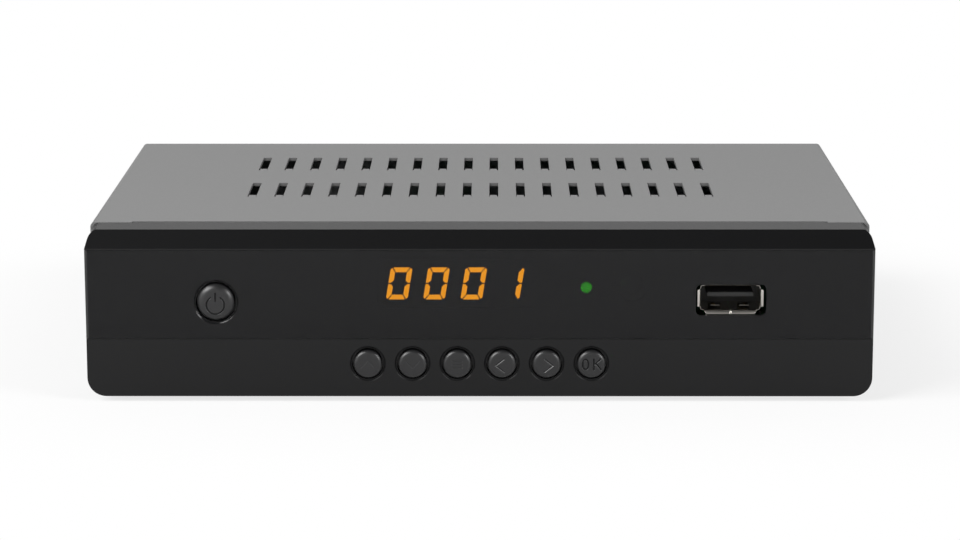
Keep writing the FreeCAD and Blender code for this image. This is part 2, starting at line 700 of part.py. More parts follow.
def top_cover():
    front = PANEL_DEPTH + EAR_GAP
    block = box(-COVER_HALF, COVER_HALF, front, CASE_DEPTH, CASE_BOTTOM, COVER_TOP)
    bends = [
        e for e in block.Edges
        if e.BoundBox.YLength > 1 and e.BoundBox.ZMin > COVER_TOP - SHEET
    ]
    block = block.makeFillet(COVER_BEND, bends)
    inside_half = COVER_HALF - SHEET
    room = box(
        -inside_half, inside_half, front - 1, CASE_DEPTH + 1, CASE_BOTTOM - 1, COVER_TOP - SHEET,
    )
    room_bends = [
        e for e in room.Edges
        if e.BoundBox.YLength > 1 and e.BoundBox.ZMin > COVER_TOP - 2 * SHEET
    ]
    room = room.makeFillet(COVER_BEND - SHEET, room_bends)
    shell = block.cut(room)
    edge_half = COVER_HALF - COVER_EAR
    cuts = [box(
        -edge_half, edge_half, front - 1, PANEL_DEPTH + EDGE_SETBACK, COVER_TOP - 2 * SHEET, COVER_TOP + 1,
    )]
    tabs = []
    for row_y in (FRONT_SLOTS_Y, REAR_SLOTS_Y):
        slot_front = row_y - SLOT_LENGTH / 2
        for x in slot_places():
            cuts.append(centred_box(
                x, SLOT_WIDTH / 2, slot_front, slot_front + SLOT_LENGTH,
                COVER_TOP - 2 * SHEET, COVER_TOP + 1,
            ))
            tabs.append(vent_tab(x, slot_front))
    hole = COVER_SCREW_RADIUS + HOLE_CLEARANCE
    for y, z in cover_screw_places():
        cuts.append(rod_x(hole, y, z, -COVER_HALF - 1, COVER_HALF + 1))
    return [fused([minus(shell, cuts)] + tabs)]


def rear_openings():
    """Holes in the rear wall for every socket."""
    y0 = REAR_INNER - 1
    y1 = REAR_OUTER + 1
    holes = [rod_y(AERIAL_NECK_RADIUS + HOLE_CLEARANCE, x, AERIAL_Z, y0, y1) for x in AERIAL_PLACES]
    half = HDMI_WIDTH / 2 + HDMI_HOLE_MARGIN
    rise = HDMI_HEIGHT / 2 + HDMI_HOLE_MARGIN
    holes.append(centred_box(HDMI_X, half, y0, y1, HDMI_Z - rise, HDMI_Z + rise))
    phono_hole = PHONO_COLLAR_RADIUS + PHONO_HOLE_CLEARANCE
    holes += [rod_y(phono_hole, x, PHONO_Z, y0, y1) for _, x in phono_places()]
    holes.append(rod_y(SUPPLY_BARREL_RADIUS + SUPPLY_HOLE_CLEARANCE, SUPPLY_X, SUPPLY_Z, y0, y1))
    return holes


def bottom_chassis():
    """Steel tray: floor, two side flanges, rear wall and two tabs for the front panel."""
    inner_half = CHASSIS_HALF - SHEET
    flange_top = CASE_BOTTOM + FLANGE_HEIGHT
    floor = box(-CHASSIS_HALF, CHASSIS_HALF, CHASSIS_START, REAR_OUTER, CASE_BOTTOM, FLOOR_TOP)
    rear = box(
        -CHASSIS_HALF, CHASSIS_HALF, REAR_INNER, REAR_OUTER, CASE_BOTTOM,
        COVER_TOP - SHEET - LIP_CLEARANCE,
    )
    sheets = [floor, rear]
    for x0, x1 in ((-CHASSIS_HALF, -inner_half), (inner_half, CHASSIS_HALF)):
        sheets.append(box(x0, x1, FLANGE_START, REAR_OUTER, CASE_BOTTOM, flange_top))
    for x, _ in panel_screw_places():
        sheets.append(centred_box(
            x, PANEL_TAB_WIDTH / 2, CHASSIS_START, CHASSIS_START + SHEET,
            CASE_BOTTOM, FLOOR_TOP + PANEL_TAB_HEIGHT,
        ))
    tray = fused(sheets)
    low_rear_edge = [
        e for e in tray.Edges
        if e.BoundBox.XLength > CHASSIS_HALF
        and abs(e.BoundBox.YMin - REAR_OUTER) < 1e-6
        and abs(e.BoundBox.ZMax - CASE_BOTTOM) < 1e-6
    ]
    tray = tray.makeFillet(SHEET, low_rear_edge)
    cuts = rear_openings()
    hole = SMALL_SCREW_RADIUS + HOLE_CLEARANCE
    for x, z in panel_screw_places():
        cuts.append(rod_y(hole, x, z, CHASSIS_START - 1, CHASSIS_START + SHEET + 1))
    thread = COVER_SCREW_RADIUS + THREAD_CLEARANCE
    for y, z in cover_screw_places():
        cuts.append(rod_x(thread, y, z, -COVER_HALF, COVER_HALF))
    first = -FLOOR_SLOT_PITCH * (FLOOR_SLOT_COUNT - 1) / 2
    for i in range(FLOOR_SLOT_COUNT):
        cuts.append(centred_box(
            first + FLOOR_SLOT_PITCH * i, FLOOR_SLOT_WIDTH / 2,
            FLOOR_SLOTS_Y - FLOOR_SLOT_LENGTH / 2, FLOOR_SLOTS_Y + FLOOR_SLOT_LENGTH / 2,
            CASE_BOTTOM - 1, FLOOR_TOP + 1,
        ))
    return [minus(tray, cuts)]


def rubber_feet():
    feet = []
    x = COVER_HALF - FOOT_FROM_SIDE
    for y in (FOOT_FROM_FRONT, CASE_DEPTH - FOOT_FROM_REAR):
        for side in (-1, 1):
            pad = rod_z(FOOT_RADIUS, side * x, y, 0, CASE_BOTTOM)
            rim = [e for e in pad.Edges if e.BoundBox.ZMax < 1e-6]
            feet.append(pad.makeFillet(FOOT_EDGE, rim))
    return feet


# ================================================================ fasteners
def screw(place, direction, radius, length, head_radius, head_height):
    """Pan head screw: its shank runs from place against direction, its head stands out along it."""
    crown = head_height * 0.6
    head = Part.makeCylinder(head_radius, head_height)
    top = [e for e in head.Edges if e.BoundBox.ZMin > head_height - 1e-6]
    head = head.makeFillet(crown, top)
    shank = Part.makeCylinder(radius, length, Vector(0, 0, -length))
    arm = head_radius * 0.6
    low = head_height - RECESS_DEPTH
    half = RECESS_WIDTH / 2
    cross = [
        box(-arm, arm, -half, half, low, head_height + 1),
        box(-half, half, -arm, arm, low, head_height + 1),
    ]
    solid = minus(fused([head, shank]), cross)
    solid.Placement = FreeCAD.Placement(place, FreeCAD.Rotation(Vector(0, 0, 1), direction))
    return solid


def cover_screws():
    screws = []
    for y, z in cover_screw_places():
        for side in (-1, 1):
            screws.append(screw(
                Vector(side * COVER_HALF, y, z), Vector(side, 0, 0),
                COVER_SCREW_RADIUS, COVER_SCREW_LENGTH, COVER_HEAD_RADIUS, COVER_HEAD_HEIGHT,
            ))
    return screws


def small_screw(place, direction, length):
    return screw(
        place, direction, SMALL_SCREW_RADIUS, length, SMALL_HEAD_RADIUS, SMALL_HEAD_HEIGHT,
    )


def panel_screws():
    y = CHASSIS_START + SHEET
    return [
        small_screw(Vector(x, y, z), Vector(0, 1, 0), PANEL_SCREW_LENGTH)
        for x, z in panel_screw_places()
    ]


def front_board_screws():
    return [
        small_screw(Vector(x, FRONT_BOARD_BACK, z), Vector(0, 1, 0), BOARD_SCREW_LENGTH)
        for x, z, _ in board_boss_places()
    ]


def standoff_places():
    x = MAIN_BOARD_HALF - STANDOFF_INSET
    ends = (MAIN_BOARD_START + STANDOFF_END_INSET, MAIN_BOARD_END - STANDOFF_END_INSET)
    return [(side * x, y) for side in (-1, 1) for y in ends]


def main_board_screws():
    return [
        small_screw(Vector(x, y, MAIN_BOARD_TOP), Vector(0, 0, 1), BOARD_SCREW_LENGTH)
        for x, y in standoff_places()
    ]


def board_standoffs():
    pilot = SMALL_SCREW_RADIUS + THREAD_CLEARANCE
    return [
        rod_z(STANDOFF_RADIUS, x, y, FLOOR_TOP, MAIN_BOARD_Z).cut(
            rod_z(pilot, x, y, FLOOR_TOP + SHEET, MAIN_BOARD_Z + 1)
        )
        for x, y in standoff_places()
    ]


# ================================================================ buttons and switches
def push_button(x, z, cap_radius, wall_back):
    """Domed cap with a flange that stops behind the wall and a stem that meets the switch."""
    dome_radius = cap_radius - BUTTON_EDGE
    sphere = (dome_radius ** 2 + BUTTON_DOME ** 2) / (2 * BUTTON_DOME)
    half_way = sphere - math.sqrt(sphere ** 2 - (dome_radius / 2) ** 2)
    shoulder = -BUTTON_PROUD + BUTTON_DOME
    bend = BUTTON_EDGE * math.sqrt(0.5)
    flange_front = wall_back + BUTTON_BACK_GAP
    flange_back = flange_front + BUTTON_FLANGE_THICKNESS
    flange_radius = cap_radius + BUTTON_FLANGE
    apex = Vector(0, -BUTTON_PROUD, 0)
    dome_end = Vector(dome_radius, shoulder, 0)
    side_start = Vector(cap_radius, shoulder + BUTTON_EDGE, 0)
    corners = [
        side_start,
        Vector(cap_radius, flange_front, 0),
        Vector(flange_radius, flange_front, 0),
        Vector(flange_radius, flange_back, 0),
        Vector(BUTTON_STEM_RADIUS, flange_back, 0),
        Vector(BUTTON_STEM_RADIUS, PLUNGER_FACE, 0),
        Vector(0, PLUNGER_FACE, 0),
        apex,
    ]
    edges = [
        arc_edge(apex, Vector(dome_radius / 2, -BUTTON_PROUD + half_way, 0), dome_end),
        arc_edge(
            dome_end,
            Vector(dome_radius + bend, shoulder + BUTTON_EDGE - bend, 0),
            side_start,
        ),
    ]
    edges += [line(a, b) for a, b in zip(corners, corners[1:])]
    return [turned_y(edges, x, z)]


def switch_plunger(x, z):
    """Plunger that leaves room for the button's travel behind it."""
    end = SWITCH_FACE + PLUNGER_BORE_DEPTH - BUTTON_TRAVEL - PLUNGER_END_GAP
    return [rod_y(PLUNGER_RADIUS, x, z, PLUNGER_FACE, end)]


def switch_places():
    return [(POWER_X, POWER_Z)] + [(x, KEY_Z) for _, x in key_places()]


def switch_housings():
    half = SWITCH_SIZE / 2
    bore = PLUNGER_RADIUS + PLUNGER_CLEARANCE
    return [
        centred_box(x, half, SWITCH_FACE, FRONT_BOARD_Y, z - half, z + half).cut(
            rod_y(bore, x, z, SWITCH_FACE - 1, SWITCH_FACE + PLUNGER_BORE_DEPTH)
        )
        for x, z in switch_places()
    ]


# ================================================================ display and lights
def slanted(x, z, centre_x, y):
    """Point of a digit after the slant, at depth y."""
    lean = z * math.tan(math.radians(DIGIT_SLANT_DEG))
    return Vector(centre_x + x + lean, y, DISPLAY_Z + z)


def segment_outline(letter):
    """Corners of one segment about the digit's middle, before the slant."""
    half_w = DIGIT_WIDTH / 2
    half_h = DIGIT_HEIGHT / 2
    inner_w = half_w - SEGMENT_STROKE
    inner_h = half_h - SEGMENT_STROKE
    gap = SEGMENT_GAP
    cut = SEGMENT_CORNER
    if letter in "ad":
        outline = [
            (-half_w + cut + gap, half_h),
            (half_w - cut - gap, half_h),
            (inner_w - gap, inner_h),
            (-inner_w + gap, inner_h),
        ]
        return [(x, z if letter == "a" else -z) for x, z in outline]
    waist = SEGMENT_STROKE / 2
    outline = [
        (half_w - cut + gap / 2, half_h - gap),
        (half_w, half_h - cut),
        (half_w, gap),
        (half_w - waist, gap),
        (inner_w, waist + gap),
        (inner_w, inner_h - gap / 2),
    ]
    flip_x = -1 if letter in "ef" else 1
    flip_z = -1 if letter in "ce" else 1
    return [(flip_x * x, flip_z * z) for x, z in outline]


def digit_places():
    first = DISPLAY_X - DIGIT_PITCH * (DIGIT_COUNT - 1) / 2
    return [first + DIGIT_PITCH * i for i in range(DIGIT_COUNT)]


def display_segments():
    """Lit segments, set flush into the face of the display."""
    segments = []
    for centre_x, letters in zip(digit_places(), LIT_SEGMENTS):
        for letter in letters:
            points = [slanted(x, z, centre_x, DISPLAY_FACE) for x, z in segment_outline(letter)]
            segments.append(polygon_face(points).extrude(Vector(0, SEGMENT_DEPTH, 0)))
    return segments


def display_module():
    body = centred_box(
        DISPLAY_X, DISPLAY_WIDTH / 2, DISPLAY_FACE, DISPLAY_BACK,
        DISPLAY_Z - DISPLAY_HEIGHT / 2, DISPLAY_Z + DISPLAY_HEIGHT / 2,
    )
    return [minus(body, display_segments())]


def display_spacer():
    half = DISPLAY_WIDTH / 2 - SPACER_MARGIN
    rise = DISPLAY_HEIGHT / 2 - SPACER_MARGIN
    frame = centred_box(DISPLAY_X, half, DISPLAY_BACK, FRONT_BOARD_Y, DISPLAY_Z - rise, DISPLAY_Z + rise)
    room = centred_box(
        DISPLAY_X, half - SPACER_MARGIN, DISPLAY_BACK - 1, FRONT_BOARD_Y + 1,
        DISPLAY_Z - rise + SPACER_MARGIN, DISPLAY_Z + rise - SPACER_MARGIN,
    )
    return [frame.cut(room)]


def light_pipe():
    tip = LENS_THICKNESS + LENS_GAP
    back = FRONT_BOARD_Y - LED_THICKNESS - LED_GAP
    return [fused([
        rod_y(LIGHT_PIPE_RADIUS, LIGHT_X, LIGHT_Z, tip, back),
        rod_y(LIGHT_PIPE_FLANGE_RADIUS, LIGHT_X, LIGHT_Z, SEAT_BACK, SEAT_BACK + LIGHT_PIPE_FLANGE),
    ])]


def status_led():
    return [centred_box(
        LIGHT_X, LED_WIDTH / 2, FRONT_BOARD_Y - LED_THICKNESS, FRONT_BOARD_Y,
        LIGHT_Z - LED_HEIGHT / 2, LIGHT_Z + LED_HEIGHT / 2,
    )]


def remote_eye():
    """Infrared receiver block with a round lens that looks out through the wall."""
    face = FRONT_BOARD_Y - EYE_THICKNESS
    block = centred_box(
        EYE_X, EYE_WIDTH / 2, face, FRONT_BOARD_Y, EYE_Z - EYE_HEIGHT / 2, EYE_Z + EYE_HEIGHT / 2,
    )
    return [fused([block, Part.makeSphere(EYE_DOME_RADIUS, Vector(EYE_X, face, EYE_Z))])]


# ================================================================ front data socket
def usb_lip(distance, length, angle):
    """Flared lip on one side of the mouth, turned to its side about the socket's axis."""
    outer = distance + USB_WALL
    flat = polygon_face([
        Vector(distance, USB_LIP_START, -length / 2),
        Vector(outer, USB_LIP_START, -length / 2),
        Vector(outer, USB_LIP_START, length / 2),
        Vector(distance, USB_LIP_START, length / 2),
    ])
    hinge = Vector(outer + USB_LIP_RADIUS, USB_LIP_START, 0)
    lip = flat.revolve(hinge, Vector(0, 0, 1), USB_LIP_ANGLE_DEG)
    lip.rotate(Vector(0, 0, 0), Vector(0, 1, 0), angle)
    lip.translate(Vector(USB_X, 0, USB_Z))
    return lip


def usb_spring(x):
    """Leaf that rises from the floor of the socket to hold the plug."""
    floor = USB_Z - USB_HALF_HEIGHT
    tip = USB_LIP_START + USB_SPRING_RECESS
    crest = tip + 1.0
    root = crest + 3.2
    leaf = [
        (root, floor - 0.05),
        (crest, floor + 0.6),
        (tip, floor + 0.2),
        (tip, floor + 0.4),
        (crest, floor + 0.8),
        (root, floor + 0.15),
    ]
    return prism_x(leaf, x - USB_SPRING_WIDTH / 2, x + USB_SPRING_WIDTH / 2)


def usb_shell():
    outer_width = USB_OPENING_WIDTH + 2 * USB_WALL
    outer_height = USB_OPENING_HEIGHT + 2 * USB_WALL
    outside = rounded_bar_y(
        USB_X, USB_Z, outer_width, outer_height, USB_CORNER, USB_LIP_START, FRONT_BOARD_Y,
    )
    inside = rounded_bar_y(
        USB_X, USB_Z, USB_OPENING_WIDTH, USB_OPENING_HEIGHT, USB_CORNER - USB_WALL,
        USB_LIP_START - 1, FRONT_BOARD_Y + 1,
    )
    lips = [
        usb_lip(USB_HALF_WIDTH, USB_SIDE_LIP, 0),
        usb_lip(USB_HALF_HEIGHT, USB_LONG_LIP, 90),
        usb_lip(USB_HALF_WIDTH, USB_SIDE_LIP, 180),
        usb_lip(USB_HALF_HEIGHT, USB_LONG_LIP, 270),
    ]
    springs = [usb_spring(USB_X - USB_SPRING_X), usb_spring(USB_X + USB_SPRING_X)]
    return [fused([outside.cut(inside)] + lips + springs)]


def usb_tongue():
    """Plastic block that closes the socket, with the tongue that carries the contacts."""
    back = FRONT_BOARD_Y
    block = rounded_bar_y(
        USB_X, USB_Z, USB_OPENING_WIDTH, USB_OPENING_HEIGHT, USB_CORNER - USB_WALL,
        back - USB_BLOCK_DEPTH, back,
    )
    half = USB_TONGUE_WIDTH / 2
    middle = USB_Z + USB_TONGUE_OFFSET
    rise = USB_TONGUE_THICKNESS / 2
    blade = centred_box(
        USB_X, half, USB_TONGUE_RECESS, back - USB_BLOCK_DEPTH, middle - rise, middle + rise,
    )
    nose = [e for e in blade.Edges if e.BoundBox.YMax < USB_TONGUE_RECESS + 1e-6]
    return [fused([block, blade.makeChamfer(USB_TONGUE_EDGE, nose)])]


def usb_contacts():
    top = USB_Z + USB_TONGUE_OFFSET - USB_TONGUE_THICKNESS / 2
    return [
        centred_box(
            USB_X + x, USB_CONTACT_WIDTH / 2, USB_TONGUE_RECESS + USB_CONTACT_RECESS,
            FRONT_BOARD_Y - USB_BLOCK_DEPTH, top - USB_CONTACT_THICKNESS, top,
        )
        for x in USB_CONTACT_X
    ]


# ================================================================ boards
def front_board():
    board = box(
        -FRONT_BOARD_HALF, FRONT_BOARD_HALF, FRONT_BOARD_Y, FRONT_BOARD_BACK,
        FRONT_BOARD_BOTTOM, FRONT_BOARD_TOP,
    )
    hole = SMALL_SCREW_RADIUS + HOLE_CLEARANCE
    return [minus(board, [
        rod_y(hole, x, z, FRONT_BOARD_Y - 1, FRONT_BOARD_BACK + 1) for x, z, _ in board_boss_places()
    ])]


def main_board():
    board = box(
        -MAIN_BOARD_HALF, MAIN_BOARD_HALF, MAIN_BOARD_START, MAIN_BOARD_END,
        MAIN_BOARD_Z, MAIN_BOARD_TOP,
    )
    hole = SMALL_SCREW_RADIUS + HOLE_CLEARANCE
    return [minus(board, [
        rod_z(hole, x, y, MAIN_BOARD_Z - 1, MAIN_BOARD_TOP + 1) for x, y in standoff_places()
    ])]


def ribbon_headers():
    half = HEADER_WIDTH / 2
    thick = HEADER_THICKNESS / 2
    return [
        centred_box(
            HEADER_X, half, FRONT_BOARD_BACK, HEADER_BACK,
            RIBBON_START_Z - thick, RIBBON_START_Z + thick,
        ),
        centred_box(
            HEADER_X, half, RIBBON_END_Y - thick, RIBBON_END_Y + thick,
            MAIN_BOARD_TOP, MAIN_HEADER_TOP,
        ),
    ]


def ribbon_cable():
    """Flat ribbon that turns through a quarter circle from one header down to the other."""
    x0 = HEADER_X - RIBBON_WIDTH / 2
    section = polygon_face([
        Vector(x0, HEADER_BACK, RIBBON_START_Z - RIBBON_THICKNESS / 2),
        Vector(x0 + RIBBON_WIDTH, HEADER_BACK, RIBBON_START_Z - RIBBON_THICKNESS / 2),
        Vector(x0 + RIBBON_WIDTH, HEADER_BACK, RIBBON_START_Z + RIBBON_THICKNESS / 2),
        Vector(x0, HEADER_BACK, RIBBON_START_Z + RIBBON_THICKNESS / 2),
    ])
    return [section.revolve(Vector(0, HEADER_BACK, MAIN_HEADER_TOP), Vector(1, 0, 0), -90)]


def main_chip():
    half = CHIP_SIZE / 2
    return [centred_box(
        CHIP_X, half, CHIP_Y - half, CHIP_Y + half, MAIN_BOARD_TOP, MAIN_BOARD_TOP + CHIP_THICKNESS,
    )]


def heatsink():
    half = HEATSINK_SIZE / 2
    low = MAIN_BOARD_TOP + CHIP_THICKNESS
    base = centred_box(CHIP_X, half, CHIP_Y - half, CHIP_Y + half, low, low + HEATSINK_BASE)
    step = (HEATSINK_SIZE - FIN_THICKNESS) / (FIN_COUNT - 1)
    first = CHIP_X - half
    fins = [
        box(
            first + step * i, first + step * i + FIN_THICKNESS, CHIP_Y - half, CHIP_Y + half,
            low, low + HEATSINK_HEIGHT,
        )
        for i in range(FIN_COUNT)
    ]
    return [fused([base] + fins)]


def memory_chips():
    top = MAIN_BOARD_TOP + MEMORY_THICKNESS
    return [
        centred_box(
            MEMORY_X, MEMORY_WIDTH / 2, y - MEMORY_LENGTH / 2, y + MEMORY_LENGTH / 2,
            MAIN_BOARD_TOP, top,
        )
        for y in (CHIP_Y - MEMORY_PITCH / 2, CHIP_Y + MEMORY_PITCH / 2)
    ]


def capacitors():
    return [
        rod_z(
            radius, CAPACITOR_X, CAPACITOR_Y + CAPACITOR_PITCH * i,
            MAIN_BOARD_TOP, MAIN_BOARD_TOP + height,
        )
        for i, (radius, height) in enumerate(zip(CAPACITOR_RADII, CAPACITOR_HEIGHTS))
    ]


def inductors():
    """Shielded coils of the supply, each with its core showing on top."""
    half = INDUCTOR_SIZE / 2
    top = MAIN_BOARD_TOP + INDUCTOR_HEIGHT
    coils = []
    for i in range(2):
        y = CAPACITOR_Y + CAPACITOR_PITCH * i
        block = centred_box(INDUCTOR_X, half, y - half, y + half, MAIN_BOARD_TOP, top)
        core = rod_z(INDUCTOR_CORE_RADIUS, INDUCTOR_X, y, top - 1, top + INDUCTOR_CORE_PROUD)
        coils.append(fused([block, core]))
    return coils


# ================================================================ tuner and aerial sockets
def tuner_frame():
    outside = centred_box(AERIAL_X, TUNER_HALF, TUNER_FRONT, TUNER_BACK, MAIN_BOARD_TOP, TUNER_TOP)
    inside = centred_box(
        AERIAL_X, TUNER_HALF - TUNER_SHEET, TUNER_FRONT + TUNER_SHEET, TUNER_BACK - TUNER_SHEET,
        MAIN_BOARD_TOP - 1, TUNER_TOP + 1,
    )
    screen = centred_box(
        AERIAL_X, TUNER_SHEET / 2, TUNER_FRONT, TUNER_BACK, MAIN_BOARD_TOP, TUNER_TOP,
    )
    frame = fused([outside.cut(inside), screen])
    holes = [
        rod_y(AERIAL_NECK_RADIUS, x, AERIAL_Z, TUNER_BACK - TUNER_SHEET - 1, TUNER_BACK + 1)
        for x in AERIAL_PLACES
    ]
    return [minus(frame, holes)]


def tuner_lid():
    """Pressed lid whose skirt slips over the tuner's frame."""
    half = TUNER_HALF + TUNER_SHEET
    y0 = TUNER_FRONT - TUNER_SHEET
    y1 = TUNER_BACK + TUNER_SHEET
    outside = centred_box(AERIAL_X, half, y0, y1, TUNER_TOP - LID_SKIRT, TUNER_TOP + TUNER_SHEET)
    inside = centred_box(
        AERIAL_X, TUNER_HALF, TUNER_FRONT, TUNER_BACK, TUNER_TOP - LID_SKIRT - 1, TUNER_TOP,
    )
    notches = [
        rod_y(AERIAL_NECK_RADIUS + LID_BARREL_GAP, x, AERIAL_Z, TUNER_BACK, TUNER_BACK + 2 * TUNER_SHEET)
        for x in AERIAL_PLACES
    ]
    return [minus(outside.cut(inside), notches)]


def aerial_barrels():
    """Threaded aerial sockets: a neck through the wall, then the free thread."""
    barrels = []
    start = TUNER_BACK - TUNER_SHEET
    for x in AERIAL_PLACES:
        barrel = fused([
            rod_y(AERIAL_NECK_RADIUS, x, AERIAL_Z, start, NUT_BACK),
            rod_y(AERIAL_THREAD_RADIUS, x, AERIAL_Z, NUT_BACK, THREAD_END),
        ])
        barrels.append(barrel.cut(rod_y(AERIAL_BORE_RADIUS, x, AERIAL_Z, start - 1, THREAD_END + 1)))
    return barrels


def aerial_insulators():
    end = THREAD_END - AERIAL_INSULATOR_RECESS
    return [
        tube_y(AERIAL_BORE_RADIUS, AERIAL_CONTACT_RADIUS, x, AERIAL_Z, TUNER_BACK - TUNER_SHEET, end)
        for x in AERIAL_PLACES
    ]


def aerial_contacts():
    end = THREAD_END - 2 * AERIAL_INSULATOR_RECESS
    return [
        tube_y(AERIAL_CONTACT_RADIUS, AERIAL_CONTACT_BORE, x, AERIAL_Z, TUNER_BACK - TUNER_SHEET, end)
        for x in AERIAL_PLACES
    ]


def aerial_washers():
    return [
        tube_y(
            WASHER_RADIUS, AERIAL_NECK_RADIUS + NUT_CLEARANCE, x, AERIAL_Z,
            REAR_OUTER, REAR_OUTER + WASHER_THICKNESS,
        )
        for x in AERIAL_PLACES
    ]


def aerial_nuts():
    corner = NUT_FLATS / math.sqrt(3)
    nuts = []
    for x in AERIAL_PLACES:
        outline = [
            (x + corner * math.cos(math.radians(60 * i)), AERIAL_Z + corner * math.sin(math.radians(60 * i)))
            for i in range(6)
        ]
        nut = prism_y(outline, REAR_OUTER + WASHER_THICKNESS, NUT_BACK)
        bore = rod_y(AERIAL_NECK_RADIUS + NUT_CLEARANCE, x, AERIAL_Z, REAR_OUTER, NUT_BACK + 1)
        nuts.append(nut.cut(bore))
    return nuts


# ================================================================ other rear sockets
def hdmi_outline(wall):
    """Section of the socket drawn in by a wall, with its two lower corners bevelled."""
    half = HDMI_WIDTH / 2 - wall
    rise = HDMI_HEIGHT / 2 - wall
    bevel_x = HDMI_BEVEL_X
    bevel_z = HDMI_BEVEL_Z
    corners = [
        (-half, rise),
        (half, rise),
        (half, -rise + bevel_z),
        (half - bevel_x, -rise),
        (-half + bevel_x, -rise),
        (-half, -rise + bevel_z),
    ]
    return [(HDMI_X + x, HDMI_Z + z) for x, z in corners]


def hdmi_shell():
    y1 = REAR_OUTER + HDMI_PROUD
    y0 = y1 - HDMI_DEPTH
    outside = prism_y(hdmi_outline(0), y0, y1)
    return [outside.cut(prism_y(hdmi_outline(HDMI_WALL), y0 - 1, y1 + 1))]


def hdmi_tongue():
    y1 = REAR_OUTER + HDMI_PROUD
    y0 = y1 - HDMI_DEPTH
    block = prism_y(hdmi_outline(HDMI_WALL), y0, y0 + HDMI_BLOCK_DEPTH)
    rise = HDMI_TONGUE_THICKNESS / 2
    blade = centred_box(
        HDMI_X, HDMI_TONGUE_WIDTH / 2, y0 + HDMI_BLOCK_DEPTH, y1 - HDMI_TONGUE_RECESS,
        HDMI_Z - rise, HDMI_Z + rise,
    )
    return [fused([block, blade])]


def phono_places():
    """Name and X of each phono socket."""
    first = PHONO_BLOCK_START + PHONO_BLOCK_MARGIN
    return [(name, first + PHONO_PITCH * i) for i, name in enumerate(PHONO_NAMES)]


def phono_housing():
    """Block on the board, with a round collar through the rear wall for each socket."""
    block = box(
        PHONO_BLOCK_START, PHONO_BLOCK_START + PHONO_BLOCK_WIDTH,
        REAR_INNER - PHONO_BLOCK_DEPTH, REAR_INNER,
        MAIN_BOARD_TOP, MAIN_BOARD_TOP + PHONO_BLOCK_HEIGHT,
    )
    collars = [
        rod_y(PHONO_COLLAR_RADIUS, x, PHONO_Z, REAR_INNER, REAR_OUTER) for _, x in phono_places()
    ]
    return [fused([block] + collars)]


def phono_sleeves():
    return [
        tube_y(PHONO_SLEEVE_RADIUS, PHONO_SLEEVE_BORE, x, PHONO_Z, REAR_OUTER, PHONO_END)
        for _, x in phono_places()
    ]


def phono_insert(x):
    """Coloured insulator inside a sleeve, with the hole for the plug's pin."""
    end = PHONO_END - PHONO_INSERT_RECESS
    insert = rod_y(PHONO_SLEEVE_BORE, x, PHONO_Z, REAR_OUTER, end)
    return [insert.cut(rod_y(PHONO_PIN_BORE, x, PHONO_Z, end - PHONO_PIN_BORE_DEPTH, end + 1))]


def supply_socket():
    half = SUPPLY_BODY_WIDTH / 2
    body = centred_box(
        SUPPLY_X, half, REAR_INNER - SUPPLY_BODY_DEPTH, REAR_INNER,
        MAIN_BOARD_TOP, MAIN_BOARD_TOP + SUPPLY_BODY_HEIGHT,
    )
    end = REAR_INNER + SUPPLY_BARREL_LENGTH
    barrel = rod_y(SUPPLY_BARREL_RADIUS, SUPPLY_X, SUPPLY_Z, REAR_INNER, end)
    bore = rod_y(SUPPLY_BORE_RADIUS, SUPPLY_X, SUPPLY_Z, end - SUPPLY_BORE_DEPTH, end + 1)
    return [fused([body, barrel]).cut(bore)]


def supply_pin():
    end = REAR_INNER + SUPPLY_BARREL_LENGTH
    return [rod_y(
        SUPPLY_PIN_RADIUS, SUPPLY_X, SUPPLY_Z, end - SUPPLY_BORE_DEPTH, end - SUPPLY_PIN_RECESS,
    )]


# ================================================================ export
def all_nodes():
    """Every sub-part by its node name, as a list of separate solids."""
    nodes = {
        "front_panel": front_panel(),
        "front_lens": front_lens(),
        "top_cover": top_cover(),
        "bottom_chassis": bottom_chassis(),
        "rubber_feet": rubber_feet(),
        "cover_screws": cover_screws(),
        "panel_screws": panel_screws(),
        "front_board_screws": front_board_screws(),
        "main_board_screws": main_board_screws(),
        "board_standoffs": board_standoffs(),
        "front_board": front_board(),
        "switch_housings": switch_housings(),
        "display_module": display_module(),
        "display_segments": display_segments(),
        "display_spacer": display_spacer(),
        "light_pipe": light_pipe(),
        "status_led": status_led(),
        "remote_eye": remote_eye(),
        "usb_shell": usb_shell(),
        "usb_tongue": usb_tongue(),
        "usb_contacts": usb_contacts(),
        "ribbon_headers": ribbon_headers(),
        "ribbon_cable": ribbon_cable(),
        "main_board": main_board(),
        "main_chip": main_chip(),
        "heatsink": heatsink(),
        "memory_chips": memory_chips(),
        "capacitors": capacitors(),
        "inductors": inductors(),
        "tuner_frame": tuner_frame(),
        "tuner_lid": tuner_lid(),
        "aerial_barrels": aerial_barrels(),
        "aerial_insulators": aerial_insulators(),
        "aerial_contacts": aerial_contacts(),
        "aerial_washers": aerial_washers(),
        "aerial_nuts": aerial_nuts(),
        "hdmi_shell": hdmi_shell(),
        "hdmi_tongue": hdmi_tongue(),
        "phono_housing": phono_housing(),
        "phono_sleeves": phono_sleeves(),
        "supply_socket": supply_socket(),
        "supply_pin": supply_pin(),
        "power_button": push_button(POWER_X, POWER_Z, POWER_CAP_RADIUS, SEAT_BACK),
        "power_plunger": switch_plunger(POWER_X, POWER_Z),
    }
    for name, x in key_places():
        nodes[name + "_button"] = push_button(x, KEY_Z, KEY_CAP_RADIUS, LOWER_WALL)
        nodes[name + "_plunger"] = switch_plunger(x, KEY_Z)
    for name, x in phono_places():
        nodes[name + "_insert"] = phono_insert(x)
    return nodes


